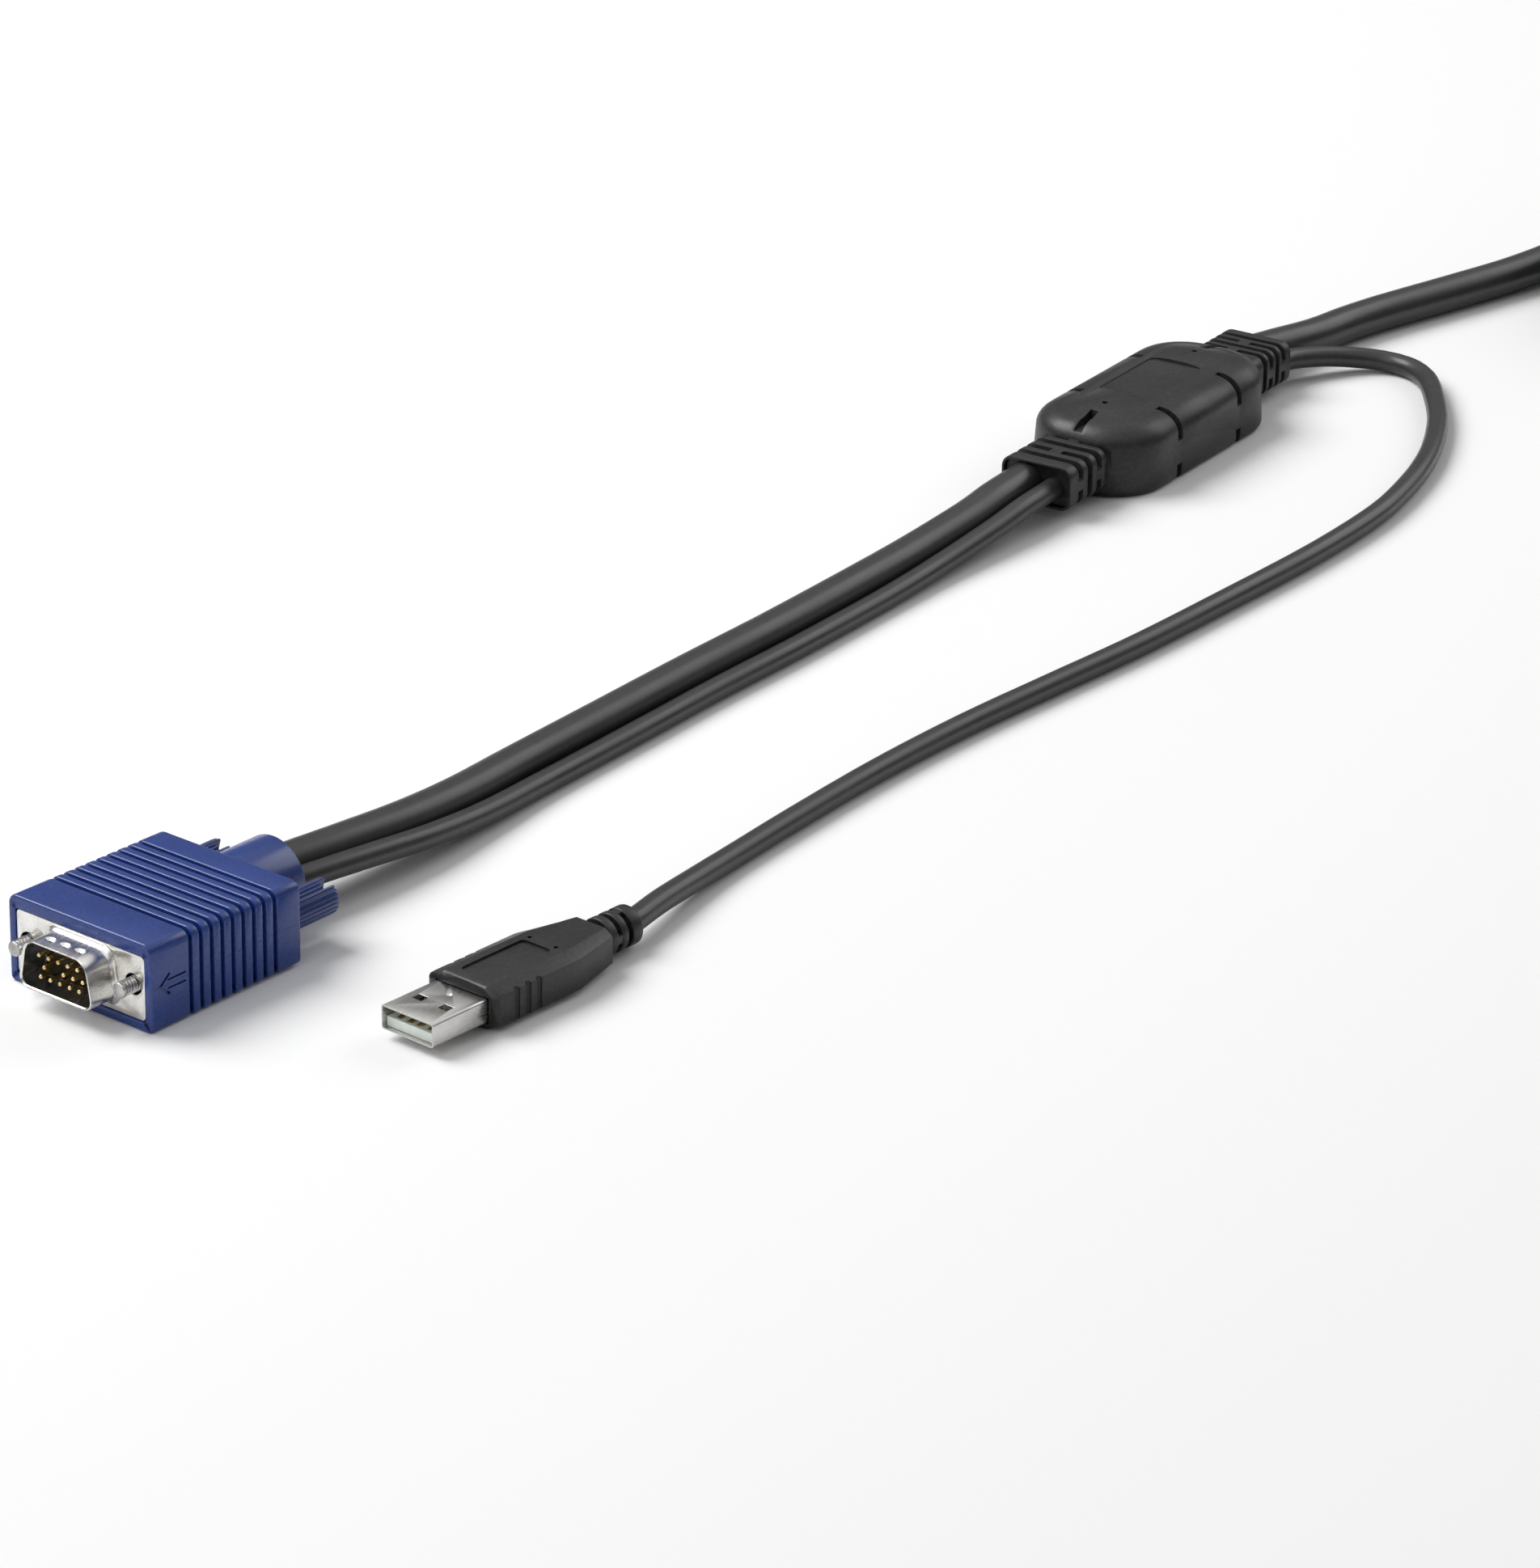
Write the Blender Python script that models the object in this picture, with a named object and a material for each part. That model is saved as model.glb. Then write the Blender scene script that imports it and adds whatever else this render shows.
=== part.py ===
"""A keyboard, video and mouse cable, lying on a flat surface.

A blue video plug and a black USB plug are joined by a moulded junction box, and one thick
cord leaves the box for the far plug. X runs from the plugs towards the far end, Z is up,
and the origin is under the middle of the junction box. Lengths are in metres.
"""

import math

import bmesh
import bpy
from mathutils import Vector

MM = 0.001

# Clearances
GAP = 0.3 * MM  # between pieces that touch on the real cable
FINE_GAP = 0.12 * MM  # round contacts, and round plates let into a moulding
OVERSHOOT = 1.0 * MM  # how far a cutter reaches past the face it opens

# Where the plugs lie, turned about Z, and the mouth of each one
VGA_PLACE = (-332.4 * MM, 16.5 * MM)
VGA_TURN = -6.8
USB_PLACE = (-314.1 * MM, -38.6 * MM)
USB_TURN = -8.1
FAR_PLACE = (60.0 * MM, -124.4 * MM)
FAR_TURN = 0.0

# Video plug: the moulded hood, as wide as its two screws need
SCREW_SPACING = 25.0 * MM
HOOD_SIDE = 4.4 * MM  # from a screw's axis to the hood's side
HOOD_WIDTH = SCREW_SPACING + 2 * HOOD_SIDE
HOOD_FRONT_HEIGHT = 16.4 * MM
HOOD_BACK_HEIGHT = 15.5 * MM
HOOD_LENGTH = 36.7 * MM
HOOD_CORNER = 1.8 * MM
HOOD_FOOT_CORNER = 1.0 * MM
HOOD_EDGE = 0.5 * MM
GRIP_GROOVES = 9
GRIP_START = 9.8 * MM
GRIP_PITCH = 2.58 * MM
GRIP_WIDTH = 0.8 * MM
GRIP_DEPTH = 1.0 * MM
GRIP_EDGE = 0.35 * MM
BOSS_RADIUS = 7.6 * MM
BOSS_LENGTH = 11.3 * MM
BOSS_EDGE = 0.4 * MM
BOSS_RIM = 0.8 * MM
BOSS_RECESS = 0.6 * MM

# Video plug: the metal front and what it holds
RIM_SIDE = 1.6 * MM
RIM_TOP = 2.4 * MM
RIM_FOOT = 1.8 * MM
FLANGE_CORNER = 1.2 * MM
FLANGE_SET_BACK = 0.2 * MM
FLANGE_THICKNESS = 0.8 * MM
SHELL_WIDTH = 17.8 * MM
SHELL_HEIGHT = 9.2 * MM
SHELL_LENGTH = 6.1 * MM
SHELL_WALL = 0.45 * MM
SHELL_CORNER = 2.4 * MM
SHELL_FLANK = 10.0
SHELL_FLARE = 0.8 * MM
INSULATOR_FACE = 0.3 * MM
INSULATOR_LENGTH = 6.0 * MM
INSULATOR_SHOULDER = 1.0 * MM
PIN_RADIUS = 0.4 * MM
PIN_REACH = 5.3 * MM
PIN_SEAT = 1.6 * MM
PIN_PITCH = 2.29 * MM
PIN_ROW_SPACING = 1.98 * MM
PIN_ROW_SHIFT = (0.0, 1.2 * MM, 0.3 * MM)
PINS_IN_ROW = 5
EMPTY_PLACES = (9,)  # contacts are left out here

# Video plug: the thumbscrews
SCREW_RADIUS = 1.4 * MM
SCREW_REACH = 3.4 * MM
SCREW_CHAMFER = 0.4 * MM
SCREW_IN_KNOB = 6.5 * MM
KNOB_RADIUS = 3.4 * MM
KNOB_FLUTES = 20
KNOB_FLUTE_DEPTH = 0.28 * MM
KNOB_LENGTH = 10.7 * MM
KNOB_EDGE = 0.5 * MM
KNOB_SLOT_WIDTH = 2.0 * MM
KNOB_SLOT_DEPTH = 2.3 * MM
KNOB_SLOT_TURN = 16.0

# USB plug
USB_SHELL_WIDTH = 12.0 * MM
USB_SHELL_HEIGHT = 4.5 * MM
USB_SHELL_SHOWING = 13.4 * MM
USB_SHELL_SEAT = 3.0 * MM
USB_SHELL_WALL = 0.3 * MM
USB_SHELL_CORNER = 0.5 * MM
USB_HOLE_WIDTH = 2.2 * MM
USB_HOLE_LENGTH = 1.9 * MM
USB_HOLE_SPACING = 5.9 * MM
USB_HOLE_PLACE = 6.3 * MM
TONGUE_SET_BACK = 0.8 * MM
TONGUE_THICKNESS = 1.85 * MM
TONGUE_LENGTH = 8.9 * MM
CONTACT_WIDTH = 1.1 * MM
CONTACT_THICKNESS = 0.3 * MM
CONTACT_PLACES = (-3.5 * MM, -1.05 * MM, 1.05 * MM, 3.5 * MM)
CONTACT_SET_BACK = 0.9 * MM
CONTACT_END_GAP = 0.5 * MM
GRIP_BODY_WIDTH = 15.4 * MM
GRIP_BODY_HEIGHT = 8.1 * MM
GRIP_BODY_TOP_WIDTH = 10.0 * MM
GRIP_BODY_CHAMFER = 1.2 * MM
GRIP_BODY_EDGE = 0.8 * MM
GRIP_BODY_STRAIGHT = 21.4 * MM
GRIP_BODY_LENGTH = 32.7 * MM
GRIP_TAIL_WIDTH = 10.0 * MM
GRIP_TAIL_HEIGHT = 7.2 * MM
GRIP_TAIL_TOP_WIDTH = 5.4 * MM
THUMB_GROOVES = 3
THUMB_GROOVE_PLACE = 5.5 * MM
THUMB_GROOVE_PITCH = 2.7 * MM
THUMB_GROOVE_WIDTH = 1.1 * MM
THUMB_GROOVE_DEPTH = 0.55 * MM
PANEL_DEPTH = 0.3 * MM
USB_PANEL_WIDTH = 6.8 * MM
USB_PANEL_LENGTH = 15.8 * MM
USB_PANEL_PLACE = 3.0 * MM
USB_PANEL_CORNER = 0.8 * MM
USB_RELIEF_CORE = 2.6 * MM
USB_RELIEF_RADIUS = 3.7 * MM
USB_RELIEF_COLLARS = ((0.3 * MM, 1.9 * MM), (3.2 * MM, 1.6 * MM), (5.9 * MM, 2.5 * MM))
USB_RELIEF_BRIDGE = 1.6 * MM

# Junction box and the two strain reliefs moulded with it
BOX_LENGTH = 62.4 * MM
BOX_WIDTH = 28.8 * MM
BOX_END_DRAFT = 1.2 * MM  # how far each end leans in from the table to its top rounding
BOX_HEIGHT = 15.7 * MM
BOX_CORNER = 12.5 * MM
BOX_SHOULDER_HEIGHT = 14.5 * MM
BOX_TOP_ROUND = 5.6 * MM
BOX_TOP_DROP = 4.4 * MM
BOX_BOTTOM_ROUND = 1.6 * MM
BOX_CROWN_INSET = 11.5 * MM
SLOT_WIDTH = 1.8 * MM
SLOT_DEPTH = 2.0 * MM
SIDE_SLOT_PLACE = 12.1 * MM
SIDE_SLOT_LOW = 8.6 * MM
FOOT_SLOT_HIGH = 3.5 * MM
BOX_PANEL_LENGTH = 22.0 * MM
BOX_PANEL_WIDTH = 12.0 * MM
BOX_PANEL_DEPTH = 0.6 * MM
VENT_RADIUS = 0.55 * MM
VENT_DEPTH = 1.2 * MM
VENT_PLACE = 18.2 * MM
RELIEF_WIDTH = 16.2 * MM
RELIEF_HEIGHT = 9.2 * MM
RELIEF_AXIS = 6.6 * MM
RELIEF_CORNER = 2.4 * MM
RELIEF_LENGTH = 13.8 * MM
RELIEF_END_EDGE = 0.5 * MM
RELIEF_GROOVES = 4
RELIEF_GROOVE_WIDTH = 1.7 * MM
RELIEF_GROOVE_PITCH = 3.65 * MM
RELIEF_GROOVE_DEPTH = 2.3 * MM
RELIEF_COLLAR = 3.0 * MM
RELIEF_BRIDGE = 2.2 * MM
RELIEF_RIM = 1.4 * MM
RELIEF_RECESS = 0.8 * MM

# Cords
THICK_RADIUS = 3.88 * MM
THIN_RADIUS = 2.22 * MM
THICK_LIE = THICK_RADIUS + 0.05 * MM
THIN_LIE = THIN_RADIUS + 0.05 * MM
COIL_CENTRE = (158.9 * MM, -76.6 * MM)
COIL_RADIUS = 40.0 * MM
COIL_COLUMNS = 3
COIL_LAYERS = 2
COIL_ROUND = 2.6 * MM
TIE_THICKNESS = 1.2 * MM
TIE_WIDTH = 10.0 * MM
TIE_ANGLE = -20.0
COIL_FOOT = TIE_THICKNESS + GAP

CORNER_STEPS = 4
ROUND_SIDES = 12
PIN_SIDES = 8
COIL_SIDES = 48

PLASTICS = {
    "blue_plastic": ((0.030, 0.050, 0.250), 0.5, 0.0),
    "black_plastic": ((0.012, 0.012, 0.012), 0.55, 0.0),
    "dark_insulator": ((0.006, 0.010, 0.018), 0.4, 0.0),
    "tongue_plastic": ((0.62, 0.70, 0.64), 0.4, 0.0),
    "cord_jacket": ((0.014, 0.014, 0.013), 0.35, 0.0),
    "nickel": ((0.62, 0.61, 0.58), 0.28, 1.0),
    "steel": ((0.55, 0.54, 0.52), 0.32, 1.0),
    "gold": ((0.80, 0.56, 0.22), 0.25, 1.0),
}


def clear_scene():
    for thing in list(bpy.data.objects):
        bpy.data.objects.remove(thing, do_unlink=True)


def make_materials():
    made = {}
    for name, (colour, roughness, metallic) in PLASTICS.items():
        material = bpy.data.materials.new(name)
        material.use_nodes = True
        shader = material.node_tree.nodes["Principled BSDF"]
        shader.inputs["Base Color"].default_value = (*colour, 1.0)
        shader.inputs["Roughness"].default_value = roughness
        shader.inputs["Metallic"].default_value = metallic
        made[name] = material
    return made


# Outlines, as lists of (across, up) points

def rounded_rectangle(width, height, radius, steps=CORNER_STEPS, foot_radius=None):
    """The two lower corners may have a radius of their own."""
    points = []
    for side, level, start in ((1, 1, 0), (-1, 1, 90), (-1, -1, 180), (1, -1, 270)):
        corner = radius if level > 0 or foot_radius is None else foot_radius
        for step in range(steps + 1):
            angle = math.radians(start + 90 * step / steps)
            across = side * (width / 2 - corner) + corner * math.cos(angle)
            up = level * (height / 2 - corner) + corner * math.sin(angle)
            points.append((across, up))
    return points


def circle(radius, count=ROUND_SIDES):
    turns = [math.tau * (index + 0.5) / count for index in range(count)]
    return [(radius * math.cos(turn), radius * math.sin(turn)) for turn in turns]


def fluted_circle(radius, depth, flutes):
    points = []
    for index in range(2 * flutes):
        turn = math.pi * index / flutes
        reach = radius - depth * (index % 2)
        points.append((reach * math.cos(turn), reach * math.sin(turn)))
    return points


def rounded_polygon(corners, radius, steps=CORNER_STEPS):
    """Corners are anticlockwise, and each one becomes an arc."""
    points = []
    count = len(corners)
    for index, corner in enumerate(corners):
        here = Vector(corner)
        back = (Vector(corners[index - 1]) - here).normalized()
        ahead = (Vector(corners[(index + 1) % count]) - here).normalized()
        half = back.angle(ahead) / 2
        middle = here + (back + ahead).normalized() * radius / math.sin(half)
        first = here + back * radius / math.tan(half) - middle
        last = here + ahead * radius / math.tan(half) - middle
        start = math.atan2(first.y, first.x)
        sweep = (math.atan2(last.y, last.x) - start) % math.tau
        for step in range(steps + 1):
            turn = start + sweep * step / steps
            points.append((middle.x + radius * math.cos(turn), middle.y + radius * math.sin(turn)))
    return points


def d_outline(inset):
    """The trapezoid of the video plug's metal shell, wide side down."""
    slope = math.tan(math.radians(SHELL_FLANK))
    lean = inset / math.cos(math.radians(SHELL_FLANK))
    high = SHELL_HEIGHT / 2 - inset
    middle = (SHELL_WIDTH - SHELL_HEIGHT * slope) / 2 - lean
    low_half = middle + high * slope
    high_half = middle - high * slope
    corners = [(high_half, high), (-high_half, high), (-low_half, -high), (low_half, -high)]
    return rounded_polygon(corners, SHELL_CORNER - inset)


def grip_outline(width, height, top_width, chamfer):
    """The eight-sided section of the USB plug's grip."""
    side = width / 2
    top = top_width / 2
    high = height / 2
    quarter = [(side, high - chamfer), (top, high)]
    left = [(-across, up) for across, up in reversed(quarter)]
    return quarter + left + [(-across, -up) for across, up in quarter + left]


# Solids

def across_x(x, outline):
    return [(x, across, up) for across, up in outline]


def across_z(z, outline):
    return [(along, across, z) for along, across in outline]


def loft(name, rings):
    """One closed body through rings that all have as many points."""
    mesh = bmesh.new()
    loops = [[mesh.verts.new(point) for point in ring] for ring in rings]
    for low, high in zip(loops, loops[1:]):
        for index, corner in enumerate(low):
            following = (index + 1) % len(low)
            mesh.faces.new((corner, low[following], high[following], high[index]))
    mesh.faces.new(loops[0])
    mesh.faces.new(loops[-1])
    bmesh.ops.recalc_face_normals(mesh, faces=mesh.faces)
    data = bpy.data.meshes.new(name)
    mesh.to_mesh(data)
    mesh.free()
    made = bpy.data.objects.new(name, data)
    bpy.context.scene.collection.objects.link(made)
    return made


def turned(name, profile, sides=ROUND_SIDES):
    """A round piece about X, from (x, radius) pairs."""
    return loft(name, [across_x(x, circle(radius, sides)) for x, radius in profile])


def moved(outline, across, up):
    return [(point[0] + across, point[1] + up) for point in outline]


def block(name, low, high):
    outline = [(high[1], high[2]), (low[1], high[2]), (low[1], low[2]), (high[1], low[2])]
    return loft(name, [across_x(low[0], outline), across_x(high[0], outline)])


def helper(piece):
    piece.hide_render = True
    piece.display_type = "WIRE"
    return piece


def combine(body, other, operation):
    modifier = body.modifiers.new(other.name, "BOOLEAN")
    modifier.operation = operation
    modifier.solver = "EXACT"
    modifier.object = helper(other)
    other.parent = body.parent


def cut(body, cutter):
    combine(body, cutter, "DIFFERENCE")


def join(body, addition):
    combine(body, addition, "UNION")


def merged(name, pieces):
    """Several separate cutters as one object."""
    mesh = bmesh.new()
    for piece in pieces:
        mesh.from_mesh(piece.data)
        bpy.data.objects.remove(piece, do_unlink=True)
    data = bpy.data.meshes.new(name)
    mesh.to_mesh(data)
    mesh.free()
    made = bpy.data.objects.new(name, data)
    bpy.context.scene.collection.objects.link(made)
    return made


def frame(name, place, turn=0.0):
    empty = bpy.data.objects.new(name, None)
    empty.location = place
    empty.rotation_euler.z = math.radians(turn)
    bpy.context.scene.collection.objects.link(empty)
    return empty


def finish(piece, parent, material):
    piece.parent = parent
    piece.data.materials.append(material)
    if piece.type == "MESH":
        piece.data.shade_smooth()
        piece.data.set_sharp_from_angle(angle=math.radians(35))
    return piece


# Video plug. Its X runs from the mouth to the cord, and Y and Z start at its axis.

def hood_outline(x, inset):
    share = x / HOOD_LENGTH
    height = HOOD_FRONT_HEIGHT + (HOOD_BACK_HEIGHT - HOOD_FRONT_HEIGHT) * share
    radius = max(HOOD_CORNER - inset, HOOD_CORNER / 3)
    foot_radius = max(HOOD_FOOT_CORNER - inset, HOOD_FOOT_CORNER / 3)
    width = HOOD_WIDTH - 2 * inset
    return rounded_rectangle(width, height - 2 * inset, radius, foot_radius=foot_radius)


def grip_grooves():
    """Sections of the encircling grooves, as (x, inset) pairs."""
    sections = []
    for index in range(GRIP_GROOVES):
        middle = GRIP_START + index * GRIP_PITCH
        low = middle - GRIP_WIDTH / 2
        high = middle + GRIP_WIDTH / 2
        sections += [(low - GRIP_EDGE, 0.0), (low, GRIP_EDGE), (low, GRIP_DEPTH)]
        sections += [(high, GRIP_DEPTH), (high, GRIP_EDGE), (high + GRIP_EDGE, 0.0)]
    return sections


def hood_solid(name, grooves):
    sections = [(0.0, HOOD_EDGE), (HOOD_EDGE, 0.0)] + grooves
    sections += [(HOOD_LENGTH - HOOD_EDGE, 0.0), (HOOD_LENGTH, HOOD_EDGE)]
    rings = [across_x(x, hood_outline(x, inset)) for x, inset in sections]
    sides = len(rings[0])
    end = HOOD_LENGTH + BOSS_LENGTH
    boss = [(HOOD_LENGTH, BOSS_RADIUS), (end - BOSS_EDGE, BOSS_RADIUS)]
    boss += [(end, BOSS_RADIUS - BOSS_EDGE), (end, BOSS_RADIUS - BOSS_RIM)]
    boss += [(end - BOSS_RECESS, BOSS_RADIUS - BOSS_RIM)]
    rings += [across_x(x, circle(radius, sides)) for x, radius in boss]
    return loft(name, rings)


def flange_back():
    return FLANGE_SET_BACK + FLANGE_THICKNESS


def window_outline(clearance):
    width = HOOD_WIDTH - 2 * RIM_SIDE - 2 * clearance
    height = HOOD_FRONT_HEIGHT - RIM_TOP - RIM_FOOT - 2 * clearance
    outline = rounded_rectangle(width, height, FLANGE_CORNER - clearance)
    return moved(outline, 0.0, (RIM_FOOT - RIM_TOP) / 2)


def insulator_back():
    return INSULATOR_FACE + INSULATOR_LENGTH


def make_hood(name, grooves, sides):
    hood = hood_solid(name, grooves)
    window = [across_x(x, window_outline(0.0)) for x in (-OVERSHOOT, flange_back() + GAP)]
    pocket_outline = d_outline(-INSULATOR_SHOULDER - GAP)
    pocket = [across_x(x, pocket_outline) for x in (0.0, insulator_back() + GAP)]
    hood.parent = sides
    cut(hood, loft(name + "_window", window))
    cut(hood, loft(name + "_pocket", pocket))
    bore = circle(SCREW_RADIUS + GAP)
    bores = []
    for side in (-1, 1):
        outline = moved(bore, side * SCREW_SPACING / 2, 0.0)
        ends = (0.0, HOOD_LENGTH + OVERSHOOT)
        bores.append(loft(name + "_bore", [across_x(x, outline) for x in ends]))
    cut(hood, merged(name + "_bores", bores))
    return hood


def make_front_shell(name, parent):
    mouth = FLANGE_SET_BACK - SHELL_LENGTH
    plate_ends = (FLANGE_SET_BACK, flange_back())
    plate = loft(name, [across_x(x, window_outline(FINE_GAP)) for x in plate_ends])
    plate.parent = parent
    rim = SHELL_WALL / 3
    sections = [(mouth, rim), (mouth + rim, 0.0), (FLANGE_SET_BACK - 1.6 * SHELL_FLARE, 0.0)]
    sections += [(FLANGE_SET_BACK - SHELL_FLARE / 3, -SHELL_FLARE / 2)]
    sections += [(FLANGE_SET_BACK, -SHELL_FLARE), (FLANGE_SET_BACK + FLANGE_THICKNESS / 2, -SHELL_FLARE)]
    join(plate, loft(name + "_tube", [across_x(x, d_outline(inset)) for x, inset in sections]))
    inside = (mouth - OVERSHOOT, flange_back() + OVERSHOOT)
    cut(plate, loft(name + "_inside", [across_x(x, d_outline(SHELL_WALL)) for x in inside]))
    hole = circle(SCREW_RADIUS + GAP)
    holes = []
    for side in (-1, 1):
        outline = moved(hole, side * SCREW_SPACING / 2, 0.0)
        ends = (FLANGE_SET_BACK - OVERSHOOT, flange_back() + OVERSHOOT)
        holes.append(loft(name + "_hole", [across_x(x, outline) for x in ends]))
    cut(plate, merged(name + "_holes", holes))
    return plate


def pin_places():
    """(number, y, z) of each pin, with rows from the narrow side down."""
    places = []
    for row, shift in enumerate(PIN_ROW_SHIFT):
        for column in range(PINS_IN_ROW):
            number = (len(PIN_ROW_SHIFT) - row) * PINS_IN_ROW - column
            across = (column - (PINS_IN_ROW - 1) / 2) * PIN_PITCH + shift
            if number not in EMPTY_PLACES:
                places.append((number, -across, (1 - row) * PIN_ROW_SPACING))
    return places


def make_insulator(name, parent):
    nose = SHELL_WALL + FINE_GAP
    shoulder = flange_back() + GAP
    sections = [(INSULATOR_FACE, nose), (shoulder, nose)]
    sections += [(shoulder, -INSULATOR_SHOULDER), (insulator_back(), -INSULATOR_SHOULDER)]
    body = loft(name, [across_x(x, d_outline(inset)) for x, inset in sections])
    body.parent = parent
    socket = circle(PIN_RADIUS + FINE_GAP, PIN_SIDES)
    sockets = []
    for _, across, up in pin_places():
        outline = moved(socket, across, up)
        ends = (INSULATOR_FACE - OVERSHOOT, INSULATOR_FACE + PIN_SEAT + FINE_GAP)
        sockets.append(loft(name + "_socket", [across_x(x, outline) for x in ends]))
    cut(body, merged(name + "_sockets", sockets))
    return body


def make_pin(name, across, up):
    tip = -PIN_REACH
    profile = [(tip, 0.3), (tip + 0.35 * PIN_RADIUS, 0.72), (tip + PIN_RADIUS, 1.0)]
    profile += [(INSULATOR_FACE + PIN_SEAT, 1.0)]
    rings = []
    for x, share in profile:
        rings.append(across_x(x, moved(circle(share * PIN_RADIUS, PIN_SIDES), across, up)))
    return loft(name, rings)


def make_thumbscrew(prefix, side, parent, paints):
    """A steel screw and the fluted knob moulded on its end, about their common axis."""
    label = "left" if side > 0 else "right"
    axis = frame(prefix + "_thumbscrew_" + label, (0.0, side * SCREW_SPACING / 2, 0.0))
    axis.parent = parent
    root = HOOD_LENGTH + GAP
    screw_end = root + SCREW_IN_KNOB
    tip = -SCREW_REACH
    profile = [(tip, SCREW_RADIUS - SCREW_CHAMFER), (tip + SCREW_CHAMFER, SCREW_RADIUS)]
    profile += [(screw_end, SCREW_RADIUS)]
    finish(turned(prefix + "_screw_" + label, profile), axis, paints["steel"])
    outline = fluted_circle(KNOB_RADIUS, KNOB_FLUTE_DEPTH, KNOB_FLUTES)
    small = fluted_circle(KNOB_RADIUS - KNOB_EDGE, KNOB_FLUTE_DEPTH / 2, KNOB_FLUTES)
    end = root + KNOB_LENGTH
    rings = [across_x(root, outline), across_x(end - KNOB_EDGE, outline), across_x(end, small)]
    knob = loft(prefix + "_knob_" + label, rings)
    knob.parent = axis
    bore = [(root - OVERSHOOT, SCREW_RADIUS + GAP), (screw_end + GAP, SCREW_RADIUS + GAP)]
    cut(knob, turned(knob.name + "_bore", bore))
    slot_low = (end - KNOB_SLOT_DEPTH, -KNOB_SLOT_WIDTH / 2, -KNOB_RADIUS - OVERSHOOT)
    slot_high = (end + OVERSHOOT, KNOB_SLOT_WIDTH / 2, KNOB_RADIUS + OVERSHOOT)
    slot = block(knob.name + "_slot", slot_low, slot_high)
    slot.rotation_euler.x = math.radians(KNOB_SLOT_TURN)
    cut(knob, slot)
    finish(knob, axis, paints["blue_plastic"])


def make_video_plug(prefix, place, turn, grooves, paints):
    parent = frame(prefix + "_plug", (*place, HOOD_FRONT_HEIGHT / 2), turn)
    finish(make_hood(prefix + "_hood", grooves, parent), parent, paints["blue_plastic"])
    finish(make_front_shell(prefix + "_front_shell", parent), parent, paints["nickel"])
    finish(make_insulator(prefix + "_insulator", parent), parent, paints["dark_insulator"])
    for number, across, up in pin_places():
        pin = make_pin(f"{prefix}_pin_{number:02d}", across, up)
        finish(pin, parent, paints["gold"])
    for side in (-1, 1):
        make_thumbscrew(prefix, side, parent, paints)


# USB plug. Its X runs from the mouth to the cord, and Y and Z start at its axis.

def usb_outline(inset):
    width = USB_SHELL_WIDTH - 2 * inset
    height = USB_SHELL_HEIGHT - 2 * inset
    return rounded_rectangle(width, height, max(USB_SHELL_CORNER - inset, USB_SHELL_CORNER / 3), 2)


def usb_shell_end():
    return USB_SHELL_SHOWING + USB_SHELL_SEAT


def make_usb_shell(parent):
    ends = (0.0, usb_shell_end())
    shell = loft("usb_shell", [across_x(x, usb_outline(0.0)) for x in ends])
    shell.parent = parent
    inside = (-OVERSHOOT, usb_shell_end() + OVERSHOOT)
    cut(shell, loft("usb_shell_inside", [across_x(x, usb_outline(USB_SHELL_WALL)) for x in inside]))
    holes = []
    for side in (-1, 1):
        middle = side * USB_HOLE_SPACING / 2
        low_x = USB_HOLE_PLACE - USB_HOLE_LENGTH / 2
        low = (low_x, middle - USB_HOLE_WIDTH / 2, -USB_SHELL_HEIGHT)
        high = (low_x + USB_HOLE_LENGTH, middle + USB_HOLE_WIDTH / 2, USB_SHELL_HEIGHT)
        holes.append(block("usb_shell_hole", low, high))
    cut(shell, merged("usb_shell_holes", holes))
    return shell


def tongue_top():
    return -USB_SHELL_HEIGHT / 2 + USB_SHELL_WALL + FINE_GAP + TONGUE_THICKNESS


def make_tongue(parent):
    half = USB_SHELL_WIDTH / 2 - USB_SHELL_WALL - USB_SHELL_CORNER
    foot = -USB_SHELL_HEIGHT / 2 + USB_SHELL_WALL + FINE_GAP
    root = TONGUE_SET_BACK + TONGUE_LENGTH
    tongue = block("usb_tongue", (TONGUE_SET_BACK, -half, foot), (usb_shell_end(), half, tongue_top()))
    tongue.parent = parent
    join(tongue, block("usb_tongue_base", (root, -half, foot), (usb_shell_end(), half, -foot)))
    channels = []
    for across in CONTACT_PLACES:
        half_width = CONTACT_WIDTH / 2 + FINE_GAP
        start = TONGUE_SET_BACK + CONTACT_SET_BACK - FINE_GAP
        low = (start, across - half_width, tongue_top() - CONTACT_THICKNESS / 2 - FINE_GAP)
        high = (root - CONTACT_END_GAP / 2, across + half_width, tongue_top() + OVERSHOOT / 2)
        channels.append(block("usb_channel", low, high))
    cut(tongue, merged("usb_channels", channels))
    return tongue


def make_contact(number, across):
    start = TONGUE_SET_BACK + CONTACT_SET_BACK
    root = TONGUE_SET_BACK + TONGUE_LENGTH - CONTACT_END_GAP
    low = (start, across - CONTACT_WIDTH / 2, tongue_top() - CONTACT_THICKNESS / 2)
    high = (root, across + CONTACT_WIDTH / 2, tongue_top() + CONTACT_THICKNESS / 2)
    return block(f"usb_contact_{number}", low, high)


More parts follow.
